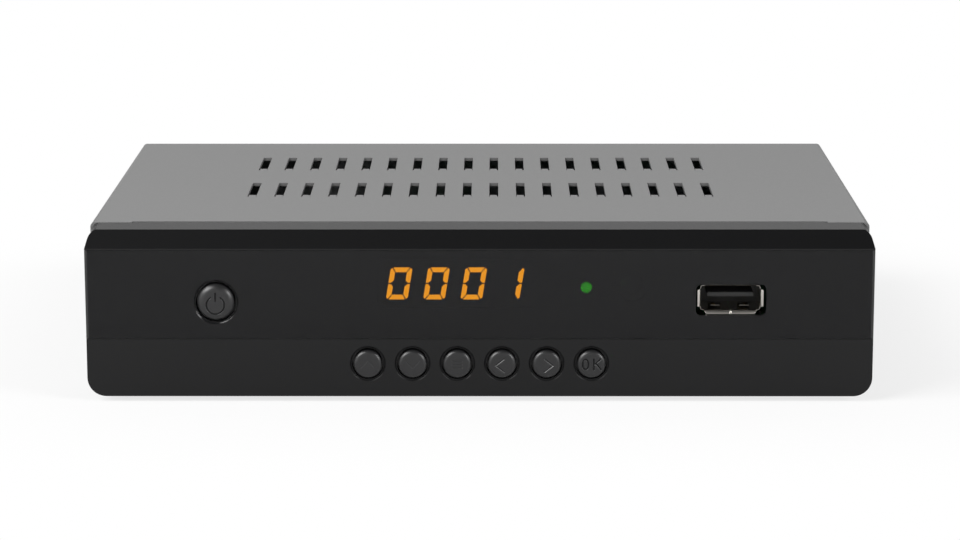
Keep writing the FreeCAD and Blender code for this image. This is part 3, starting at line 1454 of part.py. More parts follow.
def export(nodes):
    os.makedirs("parts", exist_ok=True)
    for name, solids in nodes.items():
        shape = solids[0] if len(solids) == 1 else Part.makeCompound(solids)
        shape.translate(Vector(0, SHIFT_Y, 0))
        shape.exportStep("parts/" + name + ".step")


export(all_nodes())
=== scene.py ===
"""Looks of a satellite television receiver.

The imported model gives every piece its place. This file gives each piece its finish, models the
pieces whose fine shape shows, and sets up the studio. Sizes in the classes are millimetres, and a
mesh becomes metres where it is placed.
"""

import json
import logging
import math
from dataclasses import dataclass, field
from enum import Enum
from typing import Any, Sequence

import bmesh
import bpy
from mathutils import Euler, Matrix, Vector


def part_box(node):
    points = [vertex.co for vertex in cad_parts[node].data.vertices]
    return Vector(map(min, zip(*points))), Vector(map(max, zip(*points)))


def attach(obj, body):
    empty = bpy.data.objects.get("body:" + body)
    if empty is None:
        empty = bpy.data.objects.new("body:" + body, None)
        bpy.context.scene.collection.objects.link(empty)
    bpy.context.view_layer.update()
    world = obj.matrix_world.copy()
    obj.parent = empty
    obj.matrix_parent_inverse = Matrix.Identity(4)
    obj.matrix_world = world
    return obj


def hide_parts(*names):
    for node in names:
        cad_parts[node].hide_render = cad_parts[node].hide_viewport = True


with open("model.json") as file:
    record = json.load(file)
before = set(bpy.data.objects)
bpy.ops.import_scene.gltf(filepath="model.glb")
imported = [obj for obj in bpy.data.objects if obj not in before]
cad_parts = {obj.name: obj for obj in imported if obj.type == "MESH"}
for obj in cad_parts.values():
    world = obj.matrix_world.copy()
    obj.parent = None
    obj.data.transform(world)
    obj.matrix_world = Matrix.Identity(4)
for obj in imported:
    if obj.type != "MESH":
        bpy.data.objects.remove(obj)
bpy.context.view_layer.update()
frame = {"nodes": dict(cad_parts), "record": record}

LOG = logging.getLogger("receiver")
MM = 0.001
SLOT_OF = {part["node"]: part["material_slot"] for part in frame["record"]["subparts"]}
RIGHTWARD = Vector((1, 0, 0))
REARWARD = Vector((0, 1, 0))
UPWARD = Vector((0, 0, 1))

Rgba = tuple[float, float, float, float]
Point = tuple[float, float]
Stroke = Sequence[Point]
Ring = Sequence[Vector]
BendStep = tuple[Vector, Vector, float, float]
Skin = bmesh.types.BMesh
Placed = tuple[Skin, Matrix]
Tree = bpy.types.NodeTree
Node = bpy.types.Node
Socket = bpy.types.NodeSocket
Inputs = dict[str | int, Any]


def linear(code: str) -> Rgba:
    """Turns an sRGB hex code into a linear colour.

    Args:
        code: The colour as #rrggbb.

    Returns:
        Linear red, green and blue, and an alpha of 1.
    """
    shares = [int(code[i : i + 2], 16) / 255 for i in (1, 3, 5)]
    red, green, blue = [s / 12.92 if s <= 0.04045 else ((s + 0.055) / 1.055) ** 2.4 for s in shares]
    return red, green, blue, 1.0


def add_node(tree: Tree, kind: str, inputs: Inputs | None = None, **settings: Any) -> Node:
    """Adds a node with its settings and links.

    A Mix node takes numbers at its inputs 2 and 3, and colours at 6 and 7, which come out at 2.

    Args:
        tree: The tree that the node goes into.
        kind: The node's type name.
        inputs: A value, or the output that feeds it, for each input by name or number.
        settings: The node's own properties.

    Returns:
        The new node.
    """
    node = tree.nodes.new(kind)
    for name, value in settings.items():
        setattr(node, name, value)
    for key, value in (inputs or {}).items():
        if isinstance(value, Socket):
            tree.links.new(value, node.inputs[key])
        else:
            node.inputs[key].default_value = value
    return node


def sized(place: Socket, size_mm: float, **more: float) -> Inputs:
    """Works out a pattern's inputs from the real size of its marks.

    Args:
        place: The position on the object, in metres.
        size_mm: Size of the marks.
        more: Further inputs by name.

    Returns:
        The inputs.
    """
    return {"Vector": place, "Scale": 1 / (size_mm * MM), **more}


# ---------------------------------------------------------------- finishes
@dataclass(frozen=True)
class Finish:
    """A surface: what it is made of, and how it was made.

    Attributes:
        name: The material's name.
        colour: Its colour as an sRGB hex code.
        roughness: How much it spreads a reflection.
        spread: Share by which the tone wanders.
        swing: How much the roughness wanders.
    """

    name: str
    colour: str
    roughness: float
    spread: float = 0.05
    swing: float = 0.06

    def material(self) -> bpy.types.Material:
        """Makes the material the first time that it is asked for.

        Returns:
            The material.
        """
        made = bpy.data.materials.get(self.name)
        if made is None:
            made = bpy.data.materials.new(self.name)
            made.use_nodes = True
            tree = made.node_tree
            tree.nodes.clear()
            place = add_node(tree, "ShaderNodeTexCoord").outputs["Object"]
            surface = self.shade(tree, place).outputs[0]
            add_node(tree, "ShaderNodeOutputMaterial", {"Surface": surface})
        return made

    def shade(self, tree: Tree, place: Socket) -> Node:
        """Adds the surface's nodes.

        Args:
            tree: The material's tree.
            place: The position on the object, in metres.

        Returns:
            The shader node.
        """
        raise NotImplementedError

    def toned(self, tree: Tree, drift: Socket) -> Socket:
        """Lets a pattern move the colour between a darker and a lighter tone.

        Args:
            tree: The material's tree.
            drift: The pattern.

        Returns:
            The toned colour.
        """
        red, green, blue, alpha = linear(self.colour)
        dark, light = (
            (red * share, green * share, blue * share, alpha) for share in (1 - self.spread, 1 + self.spread)
        )
        return add_node(tree, "ShaderNodeMix", {0: drift, 6: dark, 7: light}, data_type="RGBA").outputs[2]

    def worked(
        self,
        tree: Tree,
        drift: Socket,
        more: Inputs,
        marks: Socket | None = None,
        relief: tuple[Socket, float] | None = None,
    ) -> Node:
        """Adds a surface on which the marks of its making move tone, shine and height.

        Args:
            tree: The material's tree.
            drift: What moves the tone.
            more: Further inputs of the shader.
            marks: What moves the roughness, if anything does.
            relief: What raises the surface, and by how many millimetres.

        Returns:
            The shader node.
        """
        inputs = {"Base Color": self.toned(tree, drift), "Roughness": self.roughness, **more}
        if marks is not None:
            low, high = self.roughness - self.swing, self.roughness + self.swing
            shine = add_node(tree, "ShaderNodeMapRange", {"Value": marks, "To Min": low, "To Max": high})
            inputs["Roughness"] = shine.outputs[0]
        if relief is not None:
            bump = add_node(tree, "ShaderNodeBump", {"Height": relief[0], "Distance": relief[1] * MM})
            inputs["Normal"] = bump.outputs[0]
        return add_node(tree, "ShaderNodeBsdfPrincipled", inputs)


@dataclass(frozen=True)
class MouldedPlastic(Finish):
    """Injection moulded plastic: the tool's grain breaks up the shine, the flow of the melt its tone.

    Attributes:
        ior: Index of refraction, from 1.46 for soft plastics to 1.6 for filled ones.
        gloss: Specular level, 0.5 being what the index alone gives.
        grain_mm: Width of the tool's grain.
        relief_mm: Height of the grain.
        flow_mm: Width of the streaks that the flow leaves.
    """

    spread: float = 0.06
    swing: float = 0.05
    ior: float = 1.54
    gloss: float = 0.5
    grain_mm: float = 0.35
    relief_mm: float = 0.004
    flow_mm: float = 22.0

    def shade(self, tree: Tree, place: Socket) -> Node:
        """Adds grain to the shine and the relief, and a slow drift to the tone.

        Args:
            tree: The material's tree.
            place: The position on the object, in metres.

        Returns:
            The shader node.
        """
        flow = add_node(tree, "ShaderNodeTexNoise", sized(place, self.flow_mm, Detail=3.0)).outputs["Fac"]
        grain = add_node(tree, "ShaderNodeTexNoise", sized(place, self.grain_mm, Detail=3.0)).outputs["Fac"]
        more = {"IOR": self.ior, "Specular IOR Level": self.gloss}
        return self.worked(tree, flow, more, grain, (grain, self.relief_mm))


@dataclass(frozen=True)
class SmokedAcrylic(Finish):
    """Cast acrylic sheet with a smoke dye: polished, and dark enough to hide all but what is lit.

    Attributes:
        ior: Index of refraction.
        gloss: Specular level.
        density: Share of the light that the sheet stops.
        wave_mm: Length of the faint waves that cooling leaves in the sheet.
        relief_mm: Height of the waves.
        haze_mm: Width of the spots where polishing left the sheet a little duller.
    """

    swing: float = 0.01
    ior: float = 1.49
    gloss: float = 0.5
    density: float = 0.96
    wave_mm: float = 35.0
    relief_mm: float = 0.03
    haze_mm: float = 4.0

    def shade(self, tree: Tree, place: Socket) -> Node:
        """Adds a dark sheet, each of whose two faces lets the same share of the light pass.

        Args:
            tree: The material's tree.
            place: The position on the object, in metres.

        Returns:
            The shader node.
        """
        wave = add_node(tree, "ShaderNodeTexNoise", sized(place, self.wave_mm, Detail=1.0)).outputs["Fac"]
        haze = add_node(tree, "ShaderNodeTexNoise", sized(place, self.haze_mm, Detail=1.0)).outputs["Fac"]
        stopped = 1 - math.sqrt(1 - self.density)
        more = {"IOR": self.ior, "Specular IOR Level": self.gloss, "Alpha": stopped}
        return self.worked(tree, wave, more, haze, (wave, self.relief_mm))


@dataclass(frozen=True)
class ClearPolymer(Finish):
    """Clear moulded polymer that carries light, such as a light pipe.

    Attributes:
        glow: Colour of the light that comes out of it.
        strength: How strongly it shines.
        clearness: Share of the light that passes.
        ior: Index of refraction.
        streak_mm: Width of the faint streaks of its moulding.
    """

    spread: float = 0.08
    glow: str = "#000000"
    strength: float = 0.0
    clearness: float = 0.6
    ior: float = 1.49
    streak_mm: float = 1.5

    def shade(self, tree: Tree, place: Socket) -> Node:
        """Adds a clear body that glows.

        Args:
            tree: The material's tree.
            place: The position on the object, in metres.

        Returns:
            The shader node.
        """
        streak = add_node(tree, "ShaderNodeTexNoise", sized(place, self.streak_mm, Detail=2.0)).outputs["Fac"]
        more = {
            "IOR": self.ior,
            "Transmission Weight": self.clearness,
            "Emission Color": linear(self.glow),
            "Emission Strength": self.strength,
        }
        return self.worked(tree, streak, more)


@dataclass(frozen=True)
class LitPhosphor(Finish):
    """Light-emitting segment or chip under a diffusing layer, with spots of a slightly deeper tone.

    Attributes:
        glow: Colour of the light as an sRGB hex code.
        strength: How strongly it shines; the sheet in front of it takes most of that away.
        deepening: Share of red, green and blue that is left in the deeper spots.
        spot_mm: Width of the spots.
    """

    glow: str = "#ffffff"
    strength: float = 1.0
    deepening: tuple[float, float, float] = (0.94, 0.82, 0.7)
    spot_mm: float = 2.2

    def shade(self, tree: Tree, place: Socket) -> Node:
        """Adds the light and the small unevenness of the diffusing layer.

        Args:
            tree: The material's tree.
            place: The position on the object, in metres.

        Returns:
            The shader node.
        """
        full = linear(self.glow)
        deep = (*(share * left for share, left in zip(full, self.deepening)), full[3])
        spots = add_node(tree, "ShaderNodeTexNoise", sized(place, self.spot_mm, Detail=2.0)).outputs["Fac"]
        light = add_node(tree, "ShaderNodeMix", {0: spots, 6: deep, 7: full}, data_type="RGBA")
        inputs = {
            "Base Color": linear(self.colour),
            "Roughness": self.roughness,
            "Emission Color": light.outputs[2],
            "Emission Strength": self.strength,
        }
        return add_node(tree, "ShaderNodeBsdfPrincipled", inputs)


@dataclass(frozen=True)
class PaintedSteel(Finish):
    """Sheet steel under stoved satin paint, which levels out to a faint orange peel.

    Attributes:
        gloss: Specular level.
        peel_mm: Width of the orange peel.
        relief_mm: Height of the orange peel.
        fleck_mm: Width of the matting agent's flecks, drawn coarser than it is so that it shows.
        coat_mm: Width of the areas in which the coat is thicker or thinner.
    """

    gloss: float = 0.5
    peel_mm: float = 1.4
    relief_mm: float = 0.006
    fleck_mm: float = 0.3
    coat_mm: float = 60.0

    def shade(self, tree: Tree, place: Socket) -> Node:
        """Adds orange peel, flecks, and the slow drift of the paint's thickness.

        Args:
            tree: The material's tree.
            place: The position on the object, in metres.

        Returns:
            The shader node.
        """
        coat, fleck, peel = (
            add_node(tree, "ShaderNodeTexNoise", sized(place, size, Detail=2.0)).outputs["Fac"]
            for size in (self.coat_mm, self.fleck_mm, self.peel_mm)
        )
        both = add_node(tree, "ShaderNodeMix", {0: 0.5, 2: coat, 3: fleck}, data_type="FLOAT").outputs[0]
        more = {"Specular IOR Level": self.gloss}
        return self.worked(tree, both, more, fleck, (peel, self.relief_mm))


@dataclass(frozen=True)
class PlatedSteel(Finish):
    """Zinc or tin plated sheet: crystals of slightly different shine, drawn out by the rolls.

    Attributes:
        crystal_mm: Width of a crystal.
        stretch: How much longer than wide the rolls draw the marks.
        roll_mm: Width of the rolls' marks.
        relief_mm: Height of the rolls' marks.
    """

    spread: float = 0.1
    swing: float = 0.07
    crystal_mm: float = 3.0
    stretch: float = 12.0
    roll_mm: float = 0.5
    relief_mm: float = 0.002

    def shade(self, tree: Tree, place: Socket) -> Node:
        """Adds the crystals and the marks of the rolls.

        Args:
            tree: The material's tree.
            place: The position on the object, in metres.

        Returns:
            The shader node.
        """
        crystals = add_node(tree, "ShaderNodeTexVoronoi", sized(place, self.crystal_mm)).outputs["Color"]
        drawn = add_node(tree, "ShaderNodeMapping", {"Vector": place, "Scale": (1 / self.stretch, 1, 1)})
        along = drawn.outputs[0]
        rolled = add_node(tree, "ShaderNodeTexNoise", sized(along, self.roll_mm, Detail=3.0)).outputs["Fac"]
        return self.worked(tree, crystals, {"Metallic": 1.0}, crystals, (rolled, self.relief_mm))


@dataclass(frozen=True)
class TurnedMetal(Finish):
    """Plated or bare metal that was turned, stamped or extruded: fine tool marks blur its shine.

    Attributes:
        mark_mm: Distance between tool marks, drawn coarser than it is so that they show.
        relief_mm: Height of the marks.
        drift_mm: Width of the areas in which the plating's tone differs.
    """

    spread: float = 0.07
    mark_mm: float = 0.25
    relief_mm: float = 0.001
    drift_mm: float = 5.0

    def shade(self, tree: Tree, place: Socket) -> Node:
        """Adds tool marks and the slow drift of the plating's tone.

        Args:
            tree: The material's tree.
            place: The position on the object, in metres.

        Returns:
            The shader node.
        """
        drift = add_node(tree, "ShaderNodeTexNoise", sized(place, self.drift_mm, Detail=3.0)).outputs["Fac"]
        marks = add_node(tree, "ShaderNodeTexNoise", sized(place, self.mark_mm, Detail=4.0)).outputs["Fac"]
        return self.worked(tree, drift, {"Metallic": 1.0}, marks, (marks, self.relief_mm))


@dataclass(frozen=True)
class PrintedLaminate(Finish):
    """Glass-filled laminate under solder mask: etched copper shows as lighter, raised tracks.

    Attributes:
        track: Colour of the mask over copper.
        tin: Colour of a tinned pad.
        pitch_mm: Distance between tracks.
        track_share: Width of a track as a share of the pattern's size.
        copper_mm: Thickness of the copper.
        pad_share: Radius of a pad as a share of the distance between pads.
    """

    track: str = "#2f7a3c"
    tin: str = "#b9bcc0"
    pitch_mm: float = 1.27
    track_share: float = 0.03
    copper_mm: float = 0.035
    pad_share: float = 0.16

    def shade(self, tree: Tree, place: Socket) -> Node:
        """Adds tracks and the tinned pads between them.

        Args:
            tree: The material's tree.
            place: The position on the object, in metres.

        Returns:
            The shader node.
        """
        grid = sized(place, 4 * self.pitch_mm) | {"Mortar Size": self.track_share}
        tracks = add_node(tree, "ShaderNodeTexBrick", grid, offset=0.37, squash=2.0).outputs["Fac"]
        pads = add_node(tree, "ShaderNodeTexVoronoi", sized(place, 2 * self.pitch_mm)).outputs["Distance"]
        pad = add_node(tree, "ShaderNodeMath", {0: pads, 1: self.pad_share}, operation="LESS_THAN").outputs[0]
        green = {0: tracks, 6: linear(self.colour), 7: linear(self.track)}
        mask = add_node(tree, "ShaderNodeMix", green, data_type="RGBA").outputs[2]
        tone = add_node(tree, "ShaderNodeMix", {0: pad, 6: mask, 7: linear(self.tin)}, data_type="RGBA")
        relief = add_node(tree, "ShaderNodeBump", {"Height": tracks, "Distance": self.copper_mm * MM})
        inputs = {
            "Base Color": tone.outputs[2],
            "Metallic": pad,
            "Roughness": self.roughness,
            "Normal": relief.outputs[0],
        }
        return add_node(tree, "ShaderNodeBsdfPrincipled", inputs)


@dataclass(frozen=True)
class FlatCable(Finish):
    """Extruded vinyl over side-by-side wires, which show as ridges.

    Attributes:
        ridge_mm: Distance between ridges: that of four wires, which is coarse enough to show.
        relief_mm: Height of the ridges.
        ior: Index of refraction.
    """

    spread: float = 0.25
    ridge_mm: float = 5.08
    relief_mm: float = 0.2
    ior: float = 1.53

    def shade(self, tree: Tree, place: Socket) -> Node:
        """Adds the ridges; a wave at scale 1 repeats every tenth of pi.

        Args:
            tree: The material's tree.
            place: The position on the object, in metres.

        Returns:
            The shader node.
        """
        wave = sized(place, self.ridge_mm * 10 / math.pi)
        wires = add_node(tree, "ShaderNodeTexWave", wave, bands_direction="X").outputs["Fac"]
        return self.worked(tree, wires, {"IOR": self.ior}, relief=(wires, self.relief_mm))


FINISHES: dict[str, Finish] = {
    # ABS from a lightly spark-eroded tool: black, with a soft sheen instead of a reflection.
    "panel_plastic": MouldedPlastic("abs_moulded_black", "#0d0d0e", 0.36, gloss=0.32),
    # Cast acrylic, dyed and polished: a flat dark mirror at a low angle.
    "smoked_lens": SmokedAcrylic("acrylic_cast_smoked", "#161617", 0.12, gloss=0.32),
    # Epoxy polyester paint on cold rolled steel: satin, cool mid grey.
    "cover_paint": PaintedSteel("steel_stoved_satin_grey", "#727272", 0.42),
    # Electro-galvanised sheet, stamped: dull silver with faint crystals.
    "zinc_steel": PlatedSteel("steel_galvanised_rolled", "#b9bcc0", 0.38),
    # Natural rubber, compression moulded: matt, no reflection to speak of.
    "foot_rubber": MouldedPlastic(
        "rubber_moulded_matt", "#232323", 0.86, ior=1.52, grain_mm=0.5, relief_mm=0.02
    ),
    # Black oxide over a rolled thread: dark, a little oily.
    "black_screw": TurnedMetal("steel_black_oxide", "#3a3a3c", 0.42),
    # Bright zinc with a clear passivate: cold silver that blurs what it mirrors.
    "zinc_screw": TurnedMetal("steel_zinc_plated", "#c2c5c9", 0.3),
    # Free-cutting brass, turned and left bare: warm yellow with fine rings in its shine.
    "standoff_brass": TurnedMetal("brass_turned", "#d6b06a", 0.28),
    # Glass epoxy under green solder mask: glossy green with lighter tracks and silver pads.
    "circuit_board": PrintedLaminate("glass_epoxy_green_mask", "#14502a", 0.35),
    # Glass-filled nylon: slightly dusty black.
    "switch_plastic": MouldedPlastic("nylon_glass_filled_black", "#1e1e1f", 0.6, ior=1.53, grain_mm=0.2),
    # Acetal, moulded: it slides without grease and has a waxy shine.
    "plunger_plastic": MouldedPlastic("acetal_moulded_black", "#2a2a2b", 0.35, ior=1.48),
    # Screen-printed polycarbonate film: flat, without a tool's grain, so that it stays black.
    "display_face": MouldedPlastic("polycarbonate_printed_black", "#0b0b0b", 0.5, ior=1.58, relief_mm=0.0003),
    # Amber chips under a diffusing epoxy: each segment shines evenly.
    "amber_segment": LitPhosphor("epoxy_segment_amber_lit", "#3a2a10", 0.4, glow="#ffa808", strength=19.0),
    # Nylon in its natural colour: milky white with a soft shine.
    "spacer_plastic": MouldedPlastic("nylon_moulded_natural", "#dcdad0", 0.55, ior=1.53),
    # Acrylic rod, moulded: it carries the chip's light to the lens and glows evenly at its end.
    "clear_pipe": ClearPolymer(
        "acrylic_light_pipe", "#dce8dc", 0.1, glow="#39ff00", strength=2.6, clearness=0.2
    ),
    # Green chip in clear epoxy: a small lit block.
    "green_light": LitPhosphor("epoxy_chip_green_lit", "#2c6a1e", 0.4, glow="#39ff00", strength=1.5),
    # Epoxy that only infrared light passes: near black, with a wet shine.
    "eye_epoxy": MouldedPlastic("epoxy_cast_infrared_black", "#0b070b", 0.3, ior=1.55, relief_mm=0.0),
    # Bright nickel on stamped steel: warm white, sharp enough to show the room's pale walls.
    "nickel_plate": TurnedMetal("nickel_plated_bright", "#cfcbc4", 0.19),
    # PBT with glass, moulded: dark grey and dull, so that it recedes in the socket's mouth.
    "socket_plastic": MouldedPlastic("pbt_moulded_black", "#262626", 0.5, ior=1.57, grain_mm=0.25),
    # Gold flash on phosphor bronze: thin, smooth and warm.
    "gold_contact": TurnedMetal("gold_flashed_contact", "#e9c069", 0.2),
    # Nylon header, moulded: ivory with a soft shine.
    "header_plastic": MouldedPlastic("nylon_header_ivory", "#d8d2bd", 0.5, ior=1.53),
    # Vinyl extruded over flat-laid wires: grey with soft ridges.
    "ribbon_grey": FlatCable("vinyl_ribbon_grey", "#8f8f90", 0.5),
    # Epoxy transfer moulded in a blasted tool: matt black, a little dusty.
    "chip_epoxy": MouldedPlastic("epoxy_transfer_moulded", "#1d1d1e", 0.62, ior=1.55, grain_mm=0.15),
    # Aluminium as it leaves the extrusion die: pale grey with coarse die lines.
    "heatsink_aluminium": TurnedMetal("aluminium_extruded", "#c3c5c8", 0.34, mark_mm=0.4, relief_mm=0.003),
    # Shrunk vinyl sleeve: smooth dark blue.
    "capacitor_sleeve": MouldedPlastic("vinyl_shrunk_sleeve", "#1c2547", 0.25, ior=1.53, relief_mm=0.001),
    # Ferrite, pressed and fired: matt grey with a stony grain.
    "ferrite": MouldedPlastic("ferrite_pressed_grey", "#3f3f42", 0.7, ior=1.6, grain_mm=0.3, relief_mm=0.01),
    # Tinplate, rolled: brighter than zinc, with wide crystals.
    "tinned_steel": PlatedSteel("steel_tinned_rolled", "#c6c6c2", 0.28, crystal_mm=5.0),
    # PTFE, turned: chalk white with a greasy shine.
    "white_insulator": MouldedPlastic("ptfe_turned_white", "#e8e6df", 0.45, ior=1.38),
    # PBT keys from a polished tool that use has not touched: satin, a shade lighter than the panel.
    "button_plastic": MouldedPlastic(
        "pbt_key_satin_black", "#1c1c1d", 0.34, ior=1.57, grain_mm=0.3, relief_mm=0.002
    ),
    # ABS inserts from a polished tool: clean glossy colours that tell the sockets apart.
    "yellow_insert": MouldedPlastic("abs_insert_yellow", "#e8bd12", 0.3),
    "white_insert": MouldedPlastic("abs_insert_white", "#e9e9e4", 0.3),
    "red_insert": MouldedPlastic("abs_insert_red", "#c81f1c", 0.3),
    "orange_insert": MouldedPlastic("abs_insert_orange", "#e8681a", 0.3),
}


# ---------------------------------------------------------------- meshes
def extent(node: str) -> tuple[Vector, Vector]:
    """Gives a node's lowest and highest corner in millimetres.

    Args:
        node: The node's name.

    Returns:
        The two corners.
    """
    low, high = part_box(node)
    return low / MM, high / MM


def ring(radius: float, along: float, steps: int) -> list[Vector]:
    """Makes a round ring of points, or one point where the radius is 0.

    Args:
        radius: Radius of the ring.
        along: Its place along the local Z axis.
        steps: How many points it has.

    Returns:
        The points.
    """
    if radius == 0:
        return [Vector((0, 0, along))]
    turns = [2 * math.pi * i / steps for i in range(steps)]
    return [Vector((radius * math.cos(t), radius * math.sin(t), along)) for t in turns]


def arc(centre: Point, radius: float, start_deg: float, end_deg: float, steps: int = 28) -> list[Point]:
    """Makes a stroke along an arc.

    Args:
        centre: The arc's centre.
        radius: The arc's radius.
        start_deg: Where it starts, counterclockwise from the right.
        end_deg: Where it ends.
        steps: How many pieces it has.

    Returns:
        The stroke's points.
    """
    angles = [math.radians(start_deg + (end_deg - start_deg) * i / steps) for i in range(steps + 1)]
    return [(centre[0] + radius * math.cos(a), centre[1] + radius * math.sin(a)) for a in angles]


def near_stroke(x: float, y: float, stroke: Stroke) -> float:
    """Measures how far a point is from a stroke.

    Args:
        x: The point's first coordinate.
        y: The point's second coordinate.
        stroke: The stroke's corners in order.

    Returns:
        The distance.
    """
    best = math.inf
    for (ax, ay), (bx, by) in zip(stroke, stroke[1:]):
        run, rise = bx - ax, by - ay
        share = ((x - ax) * run + (y - ay) * rise) / (run * run + rise * rise)
        share = min(1.0, max(0.0, share))
        best = min(best, math.hypot(x - ax - share * run, y - ay - share * rise))
    return best


def skin(rings: Sequence[Ring], closed: bool = False) -> Skin:
    """Joins rings of points into one skin, in the order given.

    Args:
        rings: Rings with equally many points; the first and last may be a single point.
        closed: Whether the last ring joins the first.

    Returns:
        The skin in millimetres.
    """
    made = bmesh.new()
    rows = [[made.verts.new(point) for point in points] for points in rings]
    pairs = list(zip(rows, rows[1:]))
    if closed:
        pairs.append((rows[-1], rows[0]))
    for low, high in pairs:
        for i in range(max(len(low), len(high))):
            corners = [
                low[i % len(low)],
                low[(i + 1) % len(low)],
                high[(i + 1) % len(high)],
                high[i % len(high)],
            ]
            made.faces.new(list(dict.fromkeys(corners)))
    bmesh.ops.recalc_face_normals(made, faces=made.faces)
    return made


def capped(rings: Sequence[Ring]) -> Skin:
    """Joins rings into a skin whose first and last ring are closed from their middles.

    Args:
        rings: Rings with equally many points.

    Returns:
        The skin in millimetres.
    """
    first, last = ([sum(points, Vector()) / len(points)] for points in (rings[0], rings[-1]))
    return skin([first, *rings, last])


def facing(place: Vector, direction: Vector) -> Matrix:
    """Makes the placing of a shape whose local Z axis points in a direction.

    Args:
        place: Where the local origin goes, in millimetres.
        direction: Where the local Z axis points.

    Returns:
        The placing, from local millimetres to metres in the frame.
    """
    turn = direction.to_track_quat("Z", "Y").to_matrix().to_4x4()
    return Matrix.Scale(MM, 4) @ Matrix.Translation(place) @ turn


def add_piece(name: str, parts: Sequence[Placed], body: str, node: str, sharp_deg: float = 32.0) -> None:
    """Joins skins into a piece that stands for a node, and dresses it.

    Args:
        name: The piece's name.
        parts: Each skin with its placing.
        body: The body that the piece rides.
        node: The node that it stands for, whose slot gives its finish.
        sharp_deg: Angle between faces from which an edge stays sharp.
    """
    joined = bmesh.new()
    for part, placing in parts:
        bmesh.ops.transform(part, matrix=placing, verts=part.verts)
        part_mesh = bpy.data.meshes.new("part")
        part.to_mesh(part_mesh)
        joined.from_mesh(part_mesh)
        part.free()
        bpy.data.meshes.remove(part_mesh)
    bmesh.ops.recalc_face_normals(joined, faces=joined.faces)
    mesh = bpy.data.meshes.new(name)
    joined.to_mesh(mesh)
    joined.free()
    mesh.shade_smooth()
    mesh.set_sharp_from_angle(angle=math.radians(sharp_deg))
    mesh.materials.append(FINISHES[SLOT_OF[node]].material())
    piece = bpy.data.objects.new(name, mesh)
    bpy.context.scene.collection.objects.link(piece)
    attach(piece, body)
    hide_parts(node)
    LOG.info("made %s: %d faces, for %s", name, len(mesh.polygons), node)


def ease_edges(
    piece: bpy.types.Object,
    width_mm: float,
    weld_mm: float = 0.002,
    flat_deg: float = 0.5,
    edge_deg: float = 35.0,
) -> None:
    """Rounds a piece's sharp edges so that they catch the light.

    Args:
        piece: The piece.
        width_mm: Width of the rounding.
        weld_mm: Distance under which points become one.
        flat_deg: Angle under which faces become one.
        edge_deg: Angle from which an edge is rounded.
    """
    piece.modifiers.new("weld", "WELD").merge_threshold = weld_mm * MM
    flat = piece.modifiers.new("flat", "DECIMATE")
    flat.decimate_type = "DISSOLVE"
    flat.angle_limit = math.radians(flat_deg)
    ease = piece.modifiers.new("ease", "BEVEL")
    ease.width = width_mm * MM
    ease.segments = 2
    ease.limit_method = "ANGLE"
    ease.angle_limit = math.radians(edge_deg)
    ease.use_clamp_overlap = True
    ease.harden_normals = True


# ---------------------------------------------------------------- sub-assemblies
@dataclass
class SubAssembly:
    """A group of pieces that are made and dressed together.

    Attributes:
        kept: Nodes that stay as they are, each with the width of its eased edges in millimetres.
    """

    kept: dict[str, float] = field(default_factory=dict)

    def build(self) -> None:
        """Makes the pieces whose fine shape is modelled here; a group may have none."""

    def dress(self) -> None:
        """Gives each kept node its finish and its eased edges."""
        for node, width in self.kept.items():
            shown = frame["nodes"][node]
            finish = FINISHES[SLOT_OF[node]].material()
            shown.data.materials.clear()
            shown.data.materials.append(finish)
            if width:
                ease_edges(shown, width)
            LOG.info("dressed %s in %s", node, finish.name)


class Sign(Enum):
    """Sign cut into a key, as strokes in millimetres from the key's middle."""

    POWER = (
        tuple(arc((-0.05, -0.55), 1.9, 123, 417)),
        ((-0.05, 0.35), (-0.05, 2.0)),
    )
    UP = (((-1.4, -0.7), (0.0, 0.9), (1.4, -0.7)),)
    DOWN = (((-1.4, 0.7), (0.0, -0.9), (1.4, 0.7)),)
    MENU = tuple(((-1.0, height), (1.0, height)) for height in (0.7, 0.0, -0.7))
    LEFT = (((0.45, 1.15), (-1.35, -0.25), (0.45, -1.65)),)
    RIGHT = (((-0.45, 1.15), (1.35, -0.25), (-0.45, -1.65)),)
    OK = (
        tuple((-1.25 + 0.6 * x, 1.1 * y) for x, y in arc((0.0, 0.0), 1.0, 0, 360)),
        ((0.5, -1.15), (0.5, 1.15)),
        ((1.95, 1.15), (0.55, -0.15)),
        ((0.95, 0.22), (2.05, -1.15)),
    )


